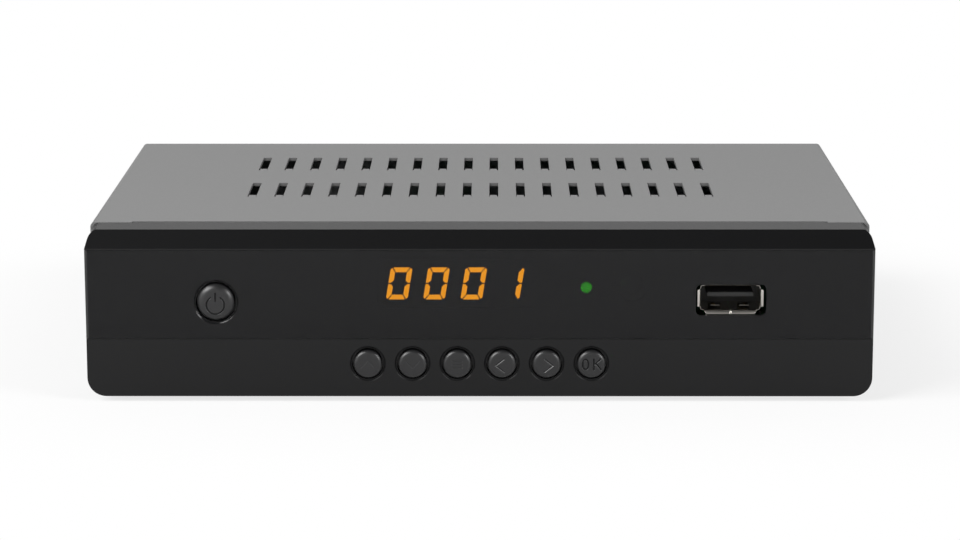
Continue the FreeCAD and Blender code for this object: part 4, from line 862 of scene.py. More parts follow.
@dataclass
class Key:
    """A round key: domed cap with a cut sign, skirt, flange and stem.

    Attributes:
        name: The key's name.
        sign: The sign on its cap.
        cap_radius: Radius of the cap.
        wall_back: Depth of the back of the wall that it passes, from the panel's face.
        shoulder: Radius of the crown's shoulder.
        groove_depth: Depth of the sign's groove.
        proud: How far the cap stands over the panel's face.
        rim_deg: How steep the shoulder is where it meets the side.
        flange_gap: Play between the flange and the back of the wall.
        flange: How far the flange stands out from the cap.
        flange_thickness: Thickness of the flange.
        stem_radius: Radius of the stem.
        groove_width: Width of the sign's groove.
        sign_reach: Share of the cap's radius within which the sign lies.
        sign_grid: Distance between the rings there.
        shoulder_rings: How many rings the rest of the crown has.
        crowding: How strongly those rings crowd toward the rim, 1 being not at all.
        steps: How many points a ring has.
    """

    name: str
    sign: Sign
    cap_radius: float
    wall_back: float
    shoulder: float
    groove_depth: float
    proud: float = 0.8
    rim_deg: float = 60.0
    flange_gap: float = 0.1
    flange: float = 0.95
    flange_thickness: float = 1.0
    stem_radius: float = 1.5
    groove_width: float = 0.44
    sign_reach: float = 0.8
    sign_grid: float = 0.05
    shoulder_rings: int = 18
    crowding: float = 1.5
    steps: int = 240

    def drop(self, radius: float) -> float:
        """How far the crown lies below its middle at a radius.

        Args:
            radius: Distance from the cap's middle.

        Returns:
            The drop: none over the flat middle, then that of a round shoulder.
        """
        flat = self.cap_radius - self.shoulder * math.sin(math.radians(self.rim_deg))
        away = max(0.0, radius - flat)
        return self.shoulder - math.sqrt(self.shoulder * self.shoulder - away * away)

    def groove(self, x: float, y: float) -> float:
        """Depth of the sign's groove at a place on the cap, its sides rounded at top and bottom.

        Args:
            x: How far the place is to the right of the cap's middle.
            y: How far it is above the middle.

        Returns:
            The depth.
        """
        away = min(near_stroke(x, y, stroke) for stroke in self.sign.value)
        share = max(0.0, 1 - away / (self.groove_width / 2))
        return self.groove_depth * share * share * (3 - 2 * share)

    def rings(self, depth: float) -> list[list[Vector]]:
        """Makes the key's rings, from the middle of its cap to the end of its stem.

        Args:
            depth: Distance from the crown's middle to the stem's end.

        Returns:
            The rings, with the local Z axis pointing out of the panel and 0 at the crown's middle.
        """
        made = [[Vector((0, 0, -self.groove(0, 0)))]]
        reach = self.sign_reach * self.cap_radius
        sign_rings = math.ceil(reach / self.sign_grid)
        radii = [reach * i / sign_rings for i in range(1, sign_rings + 1)]
        for i in range(1, self.shoulder_rings + 1):
            share = 1 - (1 - i / self.shoulder_rings) ** self.crowding
            radii.append(reach + (self.cap_radius - reach) * share)
        for radius in radii:
            points = ring(radius, -self.drop(radius), self.steps)
            for point in points:
                point.z -= self.groove(point.x, point.y)
            made.append(points)
        flange_front = -self.proud - self.wall_back - self.flange_gap
        flange_back = flange_front - self.flange_thickness
        for radius, along in (
            (self.cap_radius, flange_front),
            (self.cap_radius + self.flange, flange_front),
            (self.cap_radius + self.flange, flange_back),
            (self.stem_radius, flange_back),
            (self.stem_radius, -depth),
            (0, -depth),
        ):
            made.append(ring(radius, along, self.steps))
        return made

    def build(self) -> None:
        """Makes the key in the place of its node."""
        node = f"{self.name}_button"
        low, high = extent(node)
        place = Vector(((low.x + high.x) / 2, low.y, (low.z + high.z) / 2))
        cap = skin(self.rings(high.y - low.y))
        add_piece(f"{self.name}_key_cap", [(cap, facing(place, -REARWARD))], f"{self.name}_key", node)


@dataclass
class KeyPad(SubAssembly):
    """The power key, the six small keys and the switches behind them.

    Attributes:
        power_radius: Radius of the power key's cap.
        power_shoulder: Radius of its shoulder.
        power_groove: Depth of its sign.
        small_radius: Radius of a small key's cap.
        small_shoulder: Radius of its shoulder.
        small_grooves: Depth of each small key's sign; a worn tool cuts some of them shallow.
        lens_wall: Depth of the back of the wall that the power key passes.
        lower_wall: Depth of the back of the wall that the small keys pass.
    """

    kept: dict[str, float] = field(
        default_factory=lambda: {
            "switch_housings": 0.0,
            **{f"{sign.name.lower()}_plunger": 0.1 for sign in Sign},
        }
    )
    power_radius: float = 3.9
    power_shoulder: float = 1.95
    power_groove: float = 0.24
    small_radius: float = 2.95
    small_shoulder: float = 1.0
    small_grooves: dict[Sign, float] = field(
        default_factory=lambda: {
            Sign.UP: 0.06,
            Sign.DOWN: 0.06,
            Sign.MENU: 0.1,
            Sign.LEFT: 0.15,
            Sign.RIGHT: 0.15,
            Sign.OK: 0.24,
        }
    )
    lens_wall: float = 3.05
    lower_wall: float = 2.2

    def build(self) -> None:
        """Makes the seven keys."""
        power = (self.power_radius, self.lens_wall, self.power_shoulder, self.power_groove)
        Key("power", Sign.POWER, *power).build()
        for sign, groove in self.small_grooves.items():
            small = (self.small_radius, self.lower_wall, self.small_shoulder, groove)
            Key(sign.name.lower(), sign, *small).build()


@dataclass
class FrontPanel(SubAssembly):
    """The moulded panel and the smoked lens that lies flush in it."""

    kept: dict[str, float] = field(default_factory=lambda: {"front_panel": 0.06, "front_lens": 0.06})


@dataclass
class Display(SubAssembly):
    """Digits, status light and remote eye behind the lens."""

    kept: dict[str, float] = field(
        default_factory=lambda: {
            "display_module": 0.1,
            "display_segments": 0.12,
            "display_spacer": 0.1,
            "light_pipe": 0.05,
            "status_led": 0.05,
            "remote_eye": 0.1,
        }
    )


@dataclass(frozen=True)
class Lip:
    """A lip that flares from one side of a shell.

    Attributes:
        side_deg: On which side it is, 0 being the right and 90 the top.
        first: Where it starts along that side.
        last: Where it ends.
        slants: How much shorter each of its ends is at the free edge.
        radius: Radius of its bend on the outer side.
        bend_deg: How far it is bent outward.
        flat: Length of the flat part beyond the bend.
        neck: Length of the straight part from the shell's edge to the bend.
        bends: How many steps the bend has.
    """

    side_deg: float
    first: float
    last: float
    slants: Point
    radius: float
    bend_deg: float
    flat: float
    neck: float = 0.0
    bends: int = 12

    def reach_ahead(self, sheet: float) -> float:
        """How far the lip stands ahead of the shell's edge.

        Args:
            sheet: Thickness of the sheet.

        Returns:
            The distance.
        """
        bend = math.radians(self.bend_deg)
        bent = (self.radius + sheet / 2) * math.sin(bend) + self.flat * math.cos(bend)
        return self.neck + bent + sheet / 2

    def path(self, wall: float, sheet: float) -> list[BendStep]:
        """Makes the steps of the lip's bend.

        Args:
            wall: Distance of the opening's wall from its middle.
            sheet: Thickness of the sheet.

        Returns:
            For each step the sheet's middle, the direction through it, and its two ends.
        """
        out = Matrix.Rotation(math.radians(self.side_deg), 3, "Z") @ RIGHTWARD
        radius = self.radius + sheet / 2
        steps = [(out * (wall + sheet / 2) - UPWARD * sheet, -out, self.first, self.last)]
        for i in range(self.bends + 1):
            bend = math.radians(self.bend_deg * i / self.bends)
            place = out * (wall + sheet + self.radius - radius * math.cos(bend))
            place += UPWARD * (self.neck + radius * math.sin(bend))
            through = UPWARD * math.sin(bend) - out * math.cos(bend)
            steps.append((place, through, self.first, self.last))
        onward = UPWARD * math.cos(bend) + out * math.sin(bend)
        first, last = self.first + self.slants[0], self.last - self.slants[1]
        steps.append((place + onward * self.flat, through, first, last))
        return steps


@dataclass
class DataSocket(SubAssembly):
    """The front data socket: a shell folded from sheet, a moulded tongue and its contacts.

    Attributes:
        half_width: Half of the opening's width.
        half_height: Half of the opening's height.
        sheet: Thickness of the shell's sheet.
        corner: Outer radius of the shell's folded corners.
        corner_steps: How many steps a corner has.
        seam: Gap where the folded sheet meets itself, under the middle.
        drawn_edge: The front edge that the die drew, inward from the outer face and along.
        lips: The five lips; the seam divides the lower one.
        lip_sheet: Thickness of a lip as a share of the sheet's, which bending thins.
        edge_turns: Angles at which a plate's free edge is rounded off.
        side_steps: How many steps the round sides of a plate have.
        spring_x: How far the two springs stand from the middle.
        spring_width: Width of a spring.
        spring_sheet: Thickness of a spring.
        spring_run: Where a spring starts, crests and ends, behind the shell's edge.
        spring_rise: How high it stands over the opening's floor at those places.
        spring_steps: How many steps a spring has.
        spring_taper: Share of its width that it loses over its last quarter.
        tongue_half: Half of the tongue's width and thickness.
        tongue_nose: The tongue's rounded nose, inward from its sides and along.
        tongue_corner: Radius of the tongue's corners.
        tongue_rise: How far the tongue stands over the opening's middle.
        tongue_recess: How far its nose stands behind the shell's edge.
        tongue_tail: How far it reaches out behind the shell.
        block_depth: Depth of the block that carries the tongue.
        block_corner: Radius of the block's corners.
        block_play: Play between the block and the shell.
    """

    kept: dict[str, float] = field(default_factory=lambda: {"usb_contacts": 0.02})
    half_width: float = 6.25
    half_height: float = 2.56
    sheet: float = 0.3
    corner: float = 0.7
    corner_steps: int = 10
    seam: float = 0.08
    drawn_edge: Stroke = (
        (0.0, -0.3),
        (0.03, -0.19),
        (0.09, -0.09),
        (0.17, -0.02),
        (0.23, 0.0),
        (0.28, -0.01),
        (0.3, -0.04),
    )
    lips: tuple[Lip, ...] = (
        Lip(0, -1.95, 1.95, (0.1, 0.1), 0.45, 66.0, 0.22),
        Lip(90, -5.5, 5.5, (0.3, 0.3), 0.9, 58.0, 0.0),
        Lip(180, -1.95, 1.95, (0.1, 0.1), 0.45, 66.0, 0.22),
        Lip(270, -5.6, -0.04, (0.35, 0.0), 0.1, 56.0, 0.52, neck=0.35),
        Lip(270, 0.04, 5.6, (0.0, 0.35), 0.1, 56.0, 0.52, neck=0.35),
    )
    lip_sheet: float = 0.96
    edge_turns: tuple[float, ...] = (30, 55, 75)
    side_steps: int = 8
    spring_x: float = 3.1
    spring_width: float = 2.6
    spring_sheet: float = 0.12
    spring_run: tuple[float, float, float] = (-5.6, -2.4, -1.5)
    spring_rise: tuple[float, float, float] = (0.05, 0.95, 0.62)
    spring_steps: int = 16
    spring_taper: float = 0.25
    tongue_half: Point = (5.0, 0.55)
    tongue_nose: Stroke = ((0.22, 0.0), (0.1, -0.05), (0.03, -0.13), (0.0, -0.25))
    tongue_corner: float = 0.3
    tongue_rise: float = 0.62
    tongue_recess: float = 0.5
    tongue_tail: float = 0.4
    block_depth: float = 0.8
    block_corner: float = 0.38
    block_play: float = 0.02

    def outline(self, half_width: float, half_height: float, radius: float, gap: float) -> list[Point]:
        """Makes a rounded rectangle that starts and ends at a gap in the middle of its lower side.

        Args:
            half_width: Half of its width.
            half_height: Half of its height.
            radius: Radius of its corners.
            gap: Width of the gap.

        Returns:
            Its points, counterclockwise.
        """
        points = [(gap / 2, -half_height)]
        right, top = half_width - radius, half_height - radius
        for quarter, (x, y) in enumerate(((right, -top), (right, top), (-right, top), (-right, -top)), -1):
            points += arc((x, y), radius, 90 * quarter, 90 * quarter + 90, self.corner_steps)
        points.append((-gap / 2, -half_height))
        return points

    def tube(self, length: float) -> Skin:
        """Makes the folded shell, whose front edge the die has drawn inward.

        Args:
            length: Length of the shell behind its edge.

        Returns:
            The shell, with its edge at 0 and the rest below.
        """
        wide, high = self.half_width + self.sheet, self.half_height + self.sheet
        loops = []
        for inset, along in ((0.0, -length), *self.drawn_edge, (self.sheet, -length)):
            outline = self.outline(wide - inset, high - inset, self.corner - inset, self.seam)
            loops.append([Vector((x, y, along)) for x, y in outline])
        return capped([list(points) for points in zip(*loops)])

    def plate(self, path: Sequence[BendStep], along: Vector, sheet: float) -> Skin:
        """Makes a bent plate with rounded edges.

        Args:
            path: For each step of the bend the plate's middle, the direction through its
                thickness, and where its two ends lie along its length.
            along: Direction of the plate's length.
            sheet: Its thickness.

        Returns:
            The plate.
        """
        place, through, first, last = path[-1]
        ahead = (place - path[-2][0]).normalized()
        shown = [(*step, 1.0) for step in path]
        for turn in self.edge_turns:
            thin, reach = math.cos(math.radians(turn)), math.sin(math.radians(turn))
            short = sheet / 2 * (1 - thin)
            shown.append((place + ahead * sheet / 2 * reach, through, first + short, last - short, thin))
        rings = []
        for place, through, first, last, share in shown:
            half = sheet / 2 * share
            right = [(last - half + x, y) for x, y in arc((0, 0), half, -90, 90, self.side_steps)]
            left = [(first + half + x, y) for x, y in arc((0, 0), half, 90, 270, self.side_steps)]
            rings.append([place + along * u + through * v for u, v in right + left])
        return capped(rings)

    def spring(self, x: float) -> Skin:
        """Makes a leaf that rises from the opening's floor to hold the plug.

        Args:
            x: Where its middle stands.

        Returns:
            The spring.
        """
        root, crest, tip = self.spring_run
        low, high, end = self.spring_rise
        places = []
        for i in range(self.spring_steps + 1):
            depth = root + (tip - root) * (i / self.spring_steps)
            rising = depth < crest
            way = (depth - root) / (crest - root) if rising else (depth - crest) / (tip - crest)
            smooth = way * way * (3 - 2 * way)
            height = low + (high - low) * smooth if rising else high + (end - high) * smooth
            places.append(Vector((x, height - self.half_height, depth)))
        path = []
        for i, place in enumerate(places):
            before, after = places[max(0, i - 1)], places[min(self.spring_steps, i + 1)]
            through = RIGHTWARD.cross(after - before).normalized()
            last_quarter = max(0.0, 4 * i / self.spring_steps - 3)
            half = self.spring_width / 2 * (1 - self.spring_taper * last_quarter)
            path.append((place, through, -half, half))
        return self.plate(path, RIGHTWARD, self.spring_sheet)

    def tongue(self, length: float) -> list[Skin]:
        """Makes the blade with its worn nose, and the block behind it.

        Args:
            length: Length of the shell behind its edge.

        Returns:
            The blade and the block, placed as the shell is.
        """
        wide, thick = self.tongue_half
        blade = []
        for inset, along in (*self.tongue_nose, (0.0, self.tongue_recess - length - self.tongue_tail)):
            outline = self.outline(wide - inset, thick - inset, self.tongue_corner - inset, 0.0)[1:-1]
            blade.append([Vector((x, y + self.tongue_rise, along - self.tongue_recess)) for x, y in outline])
        wide, high = self.half_width - self.block_play, self.half_height - self.block_play
        outline = self.outline(wide, high, self.block_corner, 0.0)[1:-1]
        ends = (-length + self.block_depth, -length)
        block = [[Vector((x, y, along)) for x, y in outline] for along in ends]
        return [capped(blade), capped(block)]

    def build(self) -> None:
        """Makes the shell with its lips and springs, and the tongue."""
        low, high = extent("usb_shell")
        edge = low.y + max(lip.reach_ahead(self.sheet) for lip in self.lips)
        placing = facing(Vector(((low.x + high.x) / 2, edge, (low.z + high.z) / 2)), -REARWARD)
        skins = [self.tube(high.y - edge)]
        for lip in self.lips:
            wall = self.half_height if lip.side_deg % 180 else self.half_width
            along = Matrix.Rotation(math.radians(lip.side_deg + 90), 3, "Z") @ RIGHTWARD
            skins.append(self.plate(lip.path(wall, self.sheet), along, self.sheet * self.lip_sheet))
        skins += [self.spring(-self.spring_x), self.spring(self.spring_x)]
        add_piece("folded_socket_shell", [(made, placing) for made in skins], "receiver", "usb_shell")
        tongue = self.tongue(high.y - edge)
        add_piece("moulded_tongue", [(made, placing) for made in tongue], "receiver", "usb_tongue")


@dataclass
class Boards(SubAssembly):
    """The two boards with what they carry, and the ribbon between them."""

    kept: dict[str, float] = field(
        default_factory=lambda: {
            "front_board": 0.1,
            "main_board": 0.1,
            "board_standoffs": 0.1,
            "ribbon_headers": 0.15,
            "ribbon_cable": 0.0,
            "main_chip": 0.1,
            "heatsink": 0.1,
            "memory_chips": 0.08,
            "capacitors": 0.3,
            "inductors": 0.2,
            "front_board_screws": 0.0,
            "main_board_screws": 0.0,
            "panel_screws": 0.0,
        }
    )


@dataclass
class Case(SubAssembly):
    """Painted cover, plated chassis, their screws and the feet.

    Attributes:
        head_radius: Radius of a cover screw's head.
        head_height: Height of the head.
        head_fall: How strongly the head falls away to its rim, 1 being a full dome.
        head_rings: How many rings the head has.
        shank_length: Length of the thread.
        thread_radius: Radius over the thread.
        thread_pitch: Distance between threads.
        thread_samples: How many rings a thread has.
        thread_cut: Depth of the thread as a share of its radius.
        recess_arm: Reach of the driver recess.
        recess_width: Width of the recess.
        recess_depth: Depth of the recess.
        recess_draft: Width over which its walls slope.
        recess_fall: Share of its depth that it loses toward the head's rim.
        screw_steps: How many points a ring of a screw has.
        foot_radius: Radius of a foot.
        foot_rim: Radius of a foot's rolled rim.
        rim_steps: How many steps the rim has.
        foot_hollow: Radius of the hollow under a foot.
        hollow_wall: The hollow's wall, outward from its radius and as a share of the foot's height.
        foot_steps: How many points a ring of a foot has.
    """

    kept: dict[str, float] = field(default_factory=lambda: {"top_cover": 0.1, "bottom_chassis": 0.08})
    head_radius: float = 2.8
    head_height: float = 1.4
    head_fall: float = 0.75
    head_rings: int = 30
    shank_length: float = 4.6
    thread_radius: float = 1.5
    thread_pitch: float = 0.8
    thread_samples: int = 6
    thread_cut: float = 0.2
    recess_arm: float = 1.5
    recess_width: float = 0.9
    recess_depth: float = 0.9
    recess_draft: float = 0.12
    recess_fall: float = 0.45
    screw_steps: int = 72
    foot_radius: float = 6.0
    foot_rim: float = 0.8
    rim_steps: int = 6
    foot_hollow: float = 2.6
    hollow_wall: Stroke = ((-0.4, 0.45), (0.0, 0.7), (0.4, 0.925), (0.9, 1.0))
    foot_steps: int = 96

    def crown(self, x: float, y: float) -> float:
        """Height of a screw's head at a place on it, less the cross recess.

        Args:
            x: How far the place is from the middle along one arm of the recess.
            y: How far it is along the other arm.

        Returns:
            The height.
        """
        arm = self.recess_arm
        cross = (((-arm, 0.0), (arm, 0.0)), ((0.0, -arm), (0.0, arm)))
        out = math.hypot(x, y) / self.head_radius
        top = self.head_height * math.sqrt(max(0.0, 1 - self.head_fall * out * out))
        away = min(near_stroke(x, y, stroke) for stroke in cross)
        wall = min(1.0, max(0.0, (self.recess_width / 2 - away) / self.recess_draft))
        return top - self.recess_depth * wall * (1 - self.recess_fall * out)

    def screw(self) -> Skin:
        """Makes a pan head screw with a cross recess.

        Returns:
            The screw, with its head above the local origin.
        """
        steps = self.screw_steps
        rings = [[Vector((0, 0, self.crown(0, 0)))]]
        for i in range(1, self.head_rings + 1):
            points = ring(self.head_radius * i / self.head_rings, 0, steps)
            for point in points:
                point.z = self.crown(point.x, point.y)
            rings.append(points)
        rings += [ring(self.head_radius, 0, steps), ring(self.thread_radius, 0, steps)]
        rows = int(self.shank_length / self.thread_pitch * self.thread_samples)
        for row in range(rows):
            points = ring(self.thread_radius, -self.shank_length * row / rows, steps)
            for i, point in enumerate(points):
                phase = (row / self.thread_samples + i / steps) % 1
                point.xy *= 1 - self.thread_cut * abs(2 * phase - 1)
            rings.append(points)
        rings.append(ring(self.thread_radius * (1 - self.thread_cut), -self.shank_length, steps))
        rings.append(ring(0, -self.shank_length, steps))
        return skin(rings)

    def foot(self, height: float) -> Skin:
        """Makes a foot with a rolled rim and a hollow middle, its pad pointing along local Z.

        Args:
            height: Height of the foot.

        Returns:
            The foot, with the local origin where it meets the chassis.
        """
        outline = [(0.0, height * self.hollow_wall[0][1])]
        outline += [(self.foot_hollow + out, height * share) for out, share in self.hollow_wall]
        middle = (self.foot_radius - self.foot_rim, height - self.foot_rim)
        outline += reversed(arc(middle, self.foot_rim, 0, 90, self.rim_steps))
        outline += [(self.foot_radius, 0.0), (0.0, 0.0)]
        return skin([ring(radius, along, self.foot_steps) for radius, along in outline])

    def build(self) -> None:
        """Makes the cover screws and the feet."""
        low, high = extent("cover_screws")
        middle = (low.z + high.z) / 2
        screws = []
        for side in (-1, 1):
            seat = side * (high.x - self.head_height)
            for y in (low.y + self.head_radius, high.y - self.head_radius):
                screws.append((self.screw(), facing(Vector((seat, y, middle)), side * RIGHTWARD)))
        add_piece("cover_pan_screws", screws, "receiver", "cover_screws")
        low, high = extent("rubber_feet")
        feet = []
        for x in (low.x + self.foot_radius, high.x - self.foot_radius):
            for y in (low.y + self.foot_radius, high.y - self.foot_radius):
                feet.append((self.foot(high.z), facing(Vector((x, y, high.z)), -UPWARD)))
        add_piece("moulded_feet", feet, "receiver", "rubber_feet")


@dataclass
class AerialSockets(SubAssembly):
    """The tuner can and its two threaded sockets, each with a toothed washer and a nut.

    Attributes:
        thread_radius: Radius over the thread.
        thread_pitch: Distance between threads, 32 to the inch.
        thread_length: Length of the free thread.
        thread_depth: Depth of the thread.
        thread_samples: How many rings a thread has.
        thread_flank: Share of the depth at which a thread's flanks would meet, were its crest not
            flat, and how steep they are.
        thread_lead: Length over which the thread rises at the free end.
        thread_end: Length over which it ends at the other, and the share of its depth left there.
        neck_radius: Radius of the part that passes the nut.
        bore_radius: Radius of the bore.
        bore_chamfer: Width of the chamfer at the bore's mouth.
        play: Play between the neck and what sits on it.
        washer_radius: Radius over the washer's teeth.
        washer_thickness: Room that the washer takes with its twisted teeth.
        washer_sheet: Thickness of its sheet as a share of that.
        washer_teeth: How many teeth it has.
        washer_steps: How many points its rings have.
        tooth_length: Length of a tooth.
        tooth_share: Share of the rim that the teeth fill.
        tooth_twist: How far a tooth is twisted, as a share of the thickness.
        nut_flats: Width of the nut across its flats.
        nut_thickness: Thickness of the nut.
        nut_chamfer: Height of the chamfer at each end.
        nut_bite: How far inside the flats the chamfer starts.
        nut_levels: How many steps the chamfer has.
        nut_steps: How many points the nut's rings have.
        steps: How many points the barrel's rings have.
    """

    kept: dict[str, float] = field(
        default_factory=lambda: {
            "tuner_frame": 0.0,
            "tuner_lid": 0.0,
            "aerial_insulators": 0.08,
            "aerial_contacts": 0.05,
        }
    )
    thread_radius: float = 4.7625
    thread_pitch: float = 0.79375
    thread_length: float = 8.0
    thread_depth: float = 0.36
    thread_samples: int = 10
    thread_flank: Point = (1.7, 2.7)
    thread_lead: float = 0.5
    thread_end: Point = (0.2, 0.3)
    neck_radius: float = 4.6
    bore_radius: float = 3.6
    bore_chamfer: float = 0.25
    play: float = 0.05
    washer_radius: float = 7.0
    washer_thickness: float = 0.8
    washer_sheet: float = 0.5
    washer_teeth: int = 16
    washer_steps: int = 192
    tooth_length: float = 1.3
    tooth_share: float = 0.7
    tooth_twist: float = 0.45
    nut_flats: float = 11.1
    nut_thickness: float = 2.6
    nut_chamfer: float = 0.55
    nut_bite: float = 0.2
    nut_levels: int = 5
    nut_steps: int = 120
    steps: int = 72

    def barrel(self, length: float) -> Skin:
        """Makes a threaded barrel that ends at the local origin.

        Args:
            length: Length of the whole barrel.

        Returns:
            The barrel, with its free end at 0 and the rest below.
        """
        peak, slope = self.thread_flank
        end, left = self.thread_end
        rings = [ring(self.bore_radius, -length, self.steps), ring(self.neck_radius, -length, self.steps)]
        rings.append(ring(self.neck_radius, -self.thread_length, self.steps))
        rows = int(self.thread_length / self.thread_pitch * self.thread_samples)
        for row in range(rows + 1):
            along = -self.thread_length + self.thread_length * row / rows
            rise = min(1.0, -along / self.thread_lead, (along + self.thread_length) / end + left)
            points = ring(1.0, along, self.steps)
            for i, point in enumerate(points):
                phase = (row / self.thread_samples + i / self.steps) % 1
                tooth = min(1.0, max(0.0, peak - slope * abs(2 * phase - 1)))
                point.xy *= self.thread_radius - self.thread_depth * (1 - tooth * rise)
            rings.append(points)
        rings.append(ring(self.bore_radius + self.bore_chamfer, 0, self.steps))
        rings.append(ring(self.bore_radius, -self.bore_chamfer, self.steps))
        return skin(rings, closed=True)

    def washer_rim(self, along: float) -> list[Vector]:
        """Makes the toothed outer ring of a washer.

        Args:
            along: Its place along the local Z axis.

        Returns:
            The points; those of a tooth are twisted out of the plane.
        """
        points = ring(1.0, along, self.washer_steps)
        for i, point in enumerate(points):
            phase = i * self.washer_teeth / self.washer_steps % 1
            if phase < self.tooth_share:
                point.xy *= self.washer_radius
                point.z += (phase / self.tooth_share - 0.5) * self.tooth_twist * self.washer_thickness
            else:
                point.xy *= self.washer_radius - self.tooth_length
        return points

    def washer(self) -> Skin:
        """Makes a lock washer whose outer teeth are twisted out of its plane.

        Returns:
            The washer, with the local origin where it meets the wall.
        """
        inner, root = self.neck_radius + self.play, self.washer_radius - self.tooth_length
        middle, half = self.washer_thickness / 2, self.washer_thickness / 2 * self.washer_sheet
        low, high = middle - half, middle + half
        rings = [ring(inner, low, self.washer_steps), ring(root, low, self.washer_steps)]
        rings += [self.washer_rim(low), self.washer_rim(high)]
        rings += [ring(root, high, self.washer_steps), ring(inner, high, self.washer_steps)]
        return skin(rings, closed=True)

    def nut(self) -> Skin:
        """Makes a hexagon nut with both ends chamfered at 30 degrees.

        Returns:
            The nut, with the local origin where it meets the washer.
        """
        inner = self.neck_radius + self.play
        levels = [self.nut_chamfer * i / self.nut_levels for i in range(self.nut_levels + 1)]
        rings = [ring(inner, 0, self.nut_steps)]
        for along in levels + [self.nut_thickness - level for level in reversed(levels)]:
            end = min(along, self.nut_thickness - along)
            limit = self.nut_flats / 2 - self.nut_bite + end * math.sqrt(3)
            points = ring(1.0, along, self.nut_steps)
            for i, point in enumerate(points):
                turn = (360 * i / self.nut_steps + 30) % 60 - 30
                point.xy *= min(self.nut_flats / 2 / math.cos(math.radians(turn)), limit)
            rings.append(points)
        rings.append(ring(inner, self.nut_thickness, self.nut_steps))
        return skin(rings, closed=True)

    def build(self) -> None:
        """Makes the barrels, washers and nuts."""
        low, high = extent("aerial_barrels")
        wall = extent("aerial_washers")[0].y
        middle = (low.z + high.z) / 2
        barrels, washers, nuts = [], [], []
        for x in (low.x + self.thread_radius, high.x - self.thread_radius):
            seat = Vector((x, wall, middle))
            barrels.append((self.barrel(high.y - low.y), facing(Vector((x, high.y, middle)), REARWARD)))
            washers.append((self.washer(), facing(seat, REARWARD)))
            nuts.append((self.nut(), facing(seat + self.washer_thickness * REARWARD, REARWARD)))
        add_piece("threaded_barrels", barrels, "receiver", "aerial_barrels")
        add_piece("toothed_washers", washers, "receiver", "aerial_washers")
        add_piece("hexagon_nuts", nuts, "receiver", "aerial_nuts", sharp_deg=25.0)


@dataclass
class RearSockets(SubAssembly):
    """High definition, phono and supply sockets.

    Attributes:
        sleeve_radius: Outer radius of a phono sleeve.
        sleeve_bore: Its inner radius.
        sleeve_count: How many sleeves there are.
        sleeve_steps: How many points a sleeve's rings have.
        lip_steps: How many steps its rolled lip has.
        pressed_ring: The ring pressed into a sleeve, inward from its outer face and along.
    """

    kept: dict[str, float] = field(
        default_factory=lambda: {
            "hdmi_shell": 0.05,
            "hdmi_tongue": 0.05,
            "phono_housing": 0.2,
            "video_insert": 0.15,
            "left_audio_insert": 0.15,
            "right_audio_insert": 0.15,
            "digital_audio_insert": 0.15,
            "supply_socket": 0.15,
            "supply_pin": 0.15,
        }
    )
    sleeve_radius: float = 4.15
    sleeve_bore: float = 3.65
    sleeve_count: int = 4
    sleeve_steps: int = 96
    lip_steps: int = 9
    pressed_ring: Stroke = ((0.0, -3.4), (0.1, -3.1), (0.1, -2.8), (0.0, -2.5))

    def sleeve(self, length: float) -> Skin:
        """Makes a sleeve with a rolled lip and a pressed ring below it.

        Args:
            length: Length of the sleeve.

        Returns:
            The sleeve, with its free end at 0 and the rest below.
        """
        roll = (self.sleeve_radius - self.sleeve_bore) / 2
        outline = [(self.sleeve_bore, -length), (self.sleeve_radius, -length)]
        outline += [(self.sleeve_radius - press, along) for press, along in self.pressed_ring]
        outline += arc((self.sleeve_bore + roll, -roll), roll, 0, 180, self.lip_steps)
        return skin([ring(radius, along, self.sleeve_steps) for radius, along in outline], closed=True)

    def build(self) -> None:
        """Makes the phono sleeves."""
        low, high = extent("phono_sleeves")
        first, last = low.x + self.sleeve_radius, high.x - self.sleeve_radius
        sleeves = []
        for i in range(self.sleeve_count):
            x = first + (last - first) * i / (self.sleeve_count - 1)
            end = Vector((x, high.y, (low.z + high.z) / 2))
            sleeves.append((self.sleeve(high.y - low.y), facing(end, REARWARD)))
        add_piece("rolled_phono_sleeves", sleeves, "receiver", "phono_sleeves")


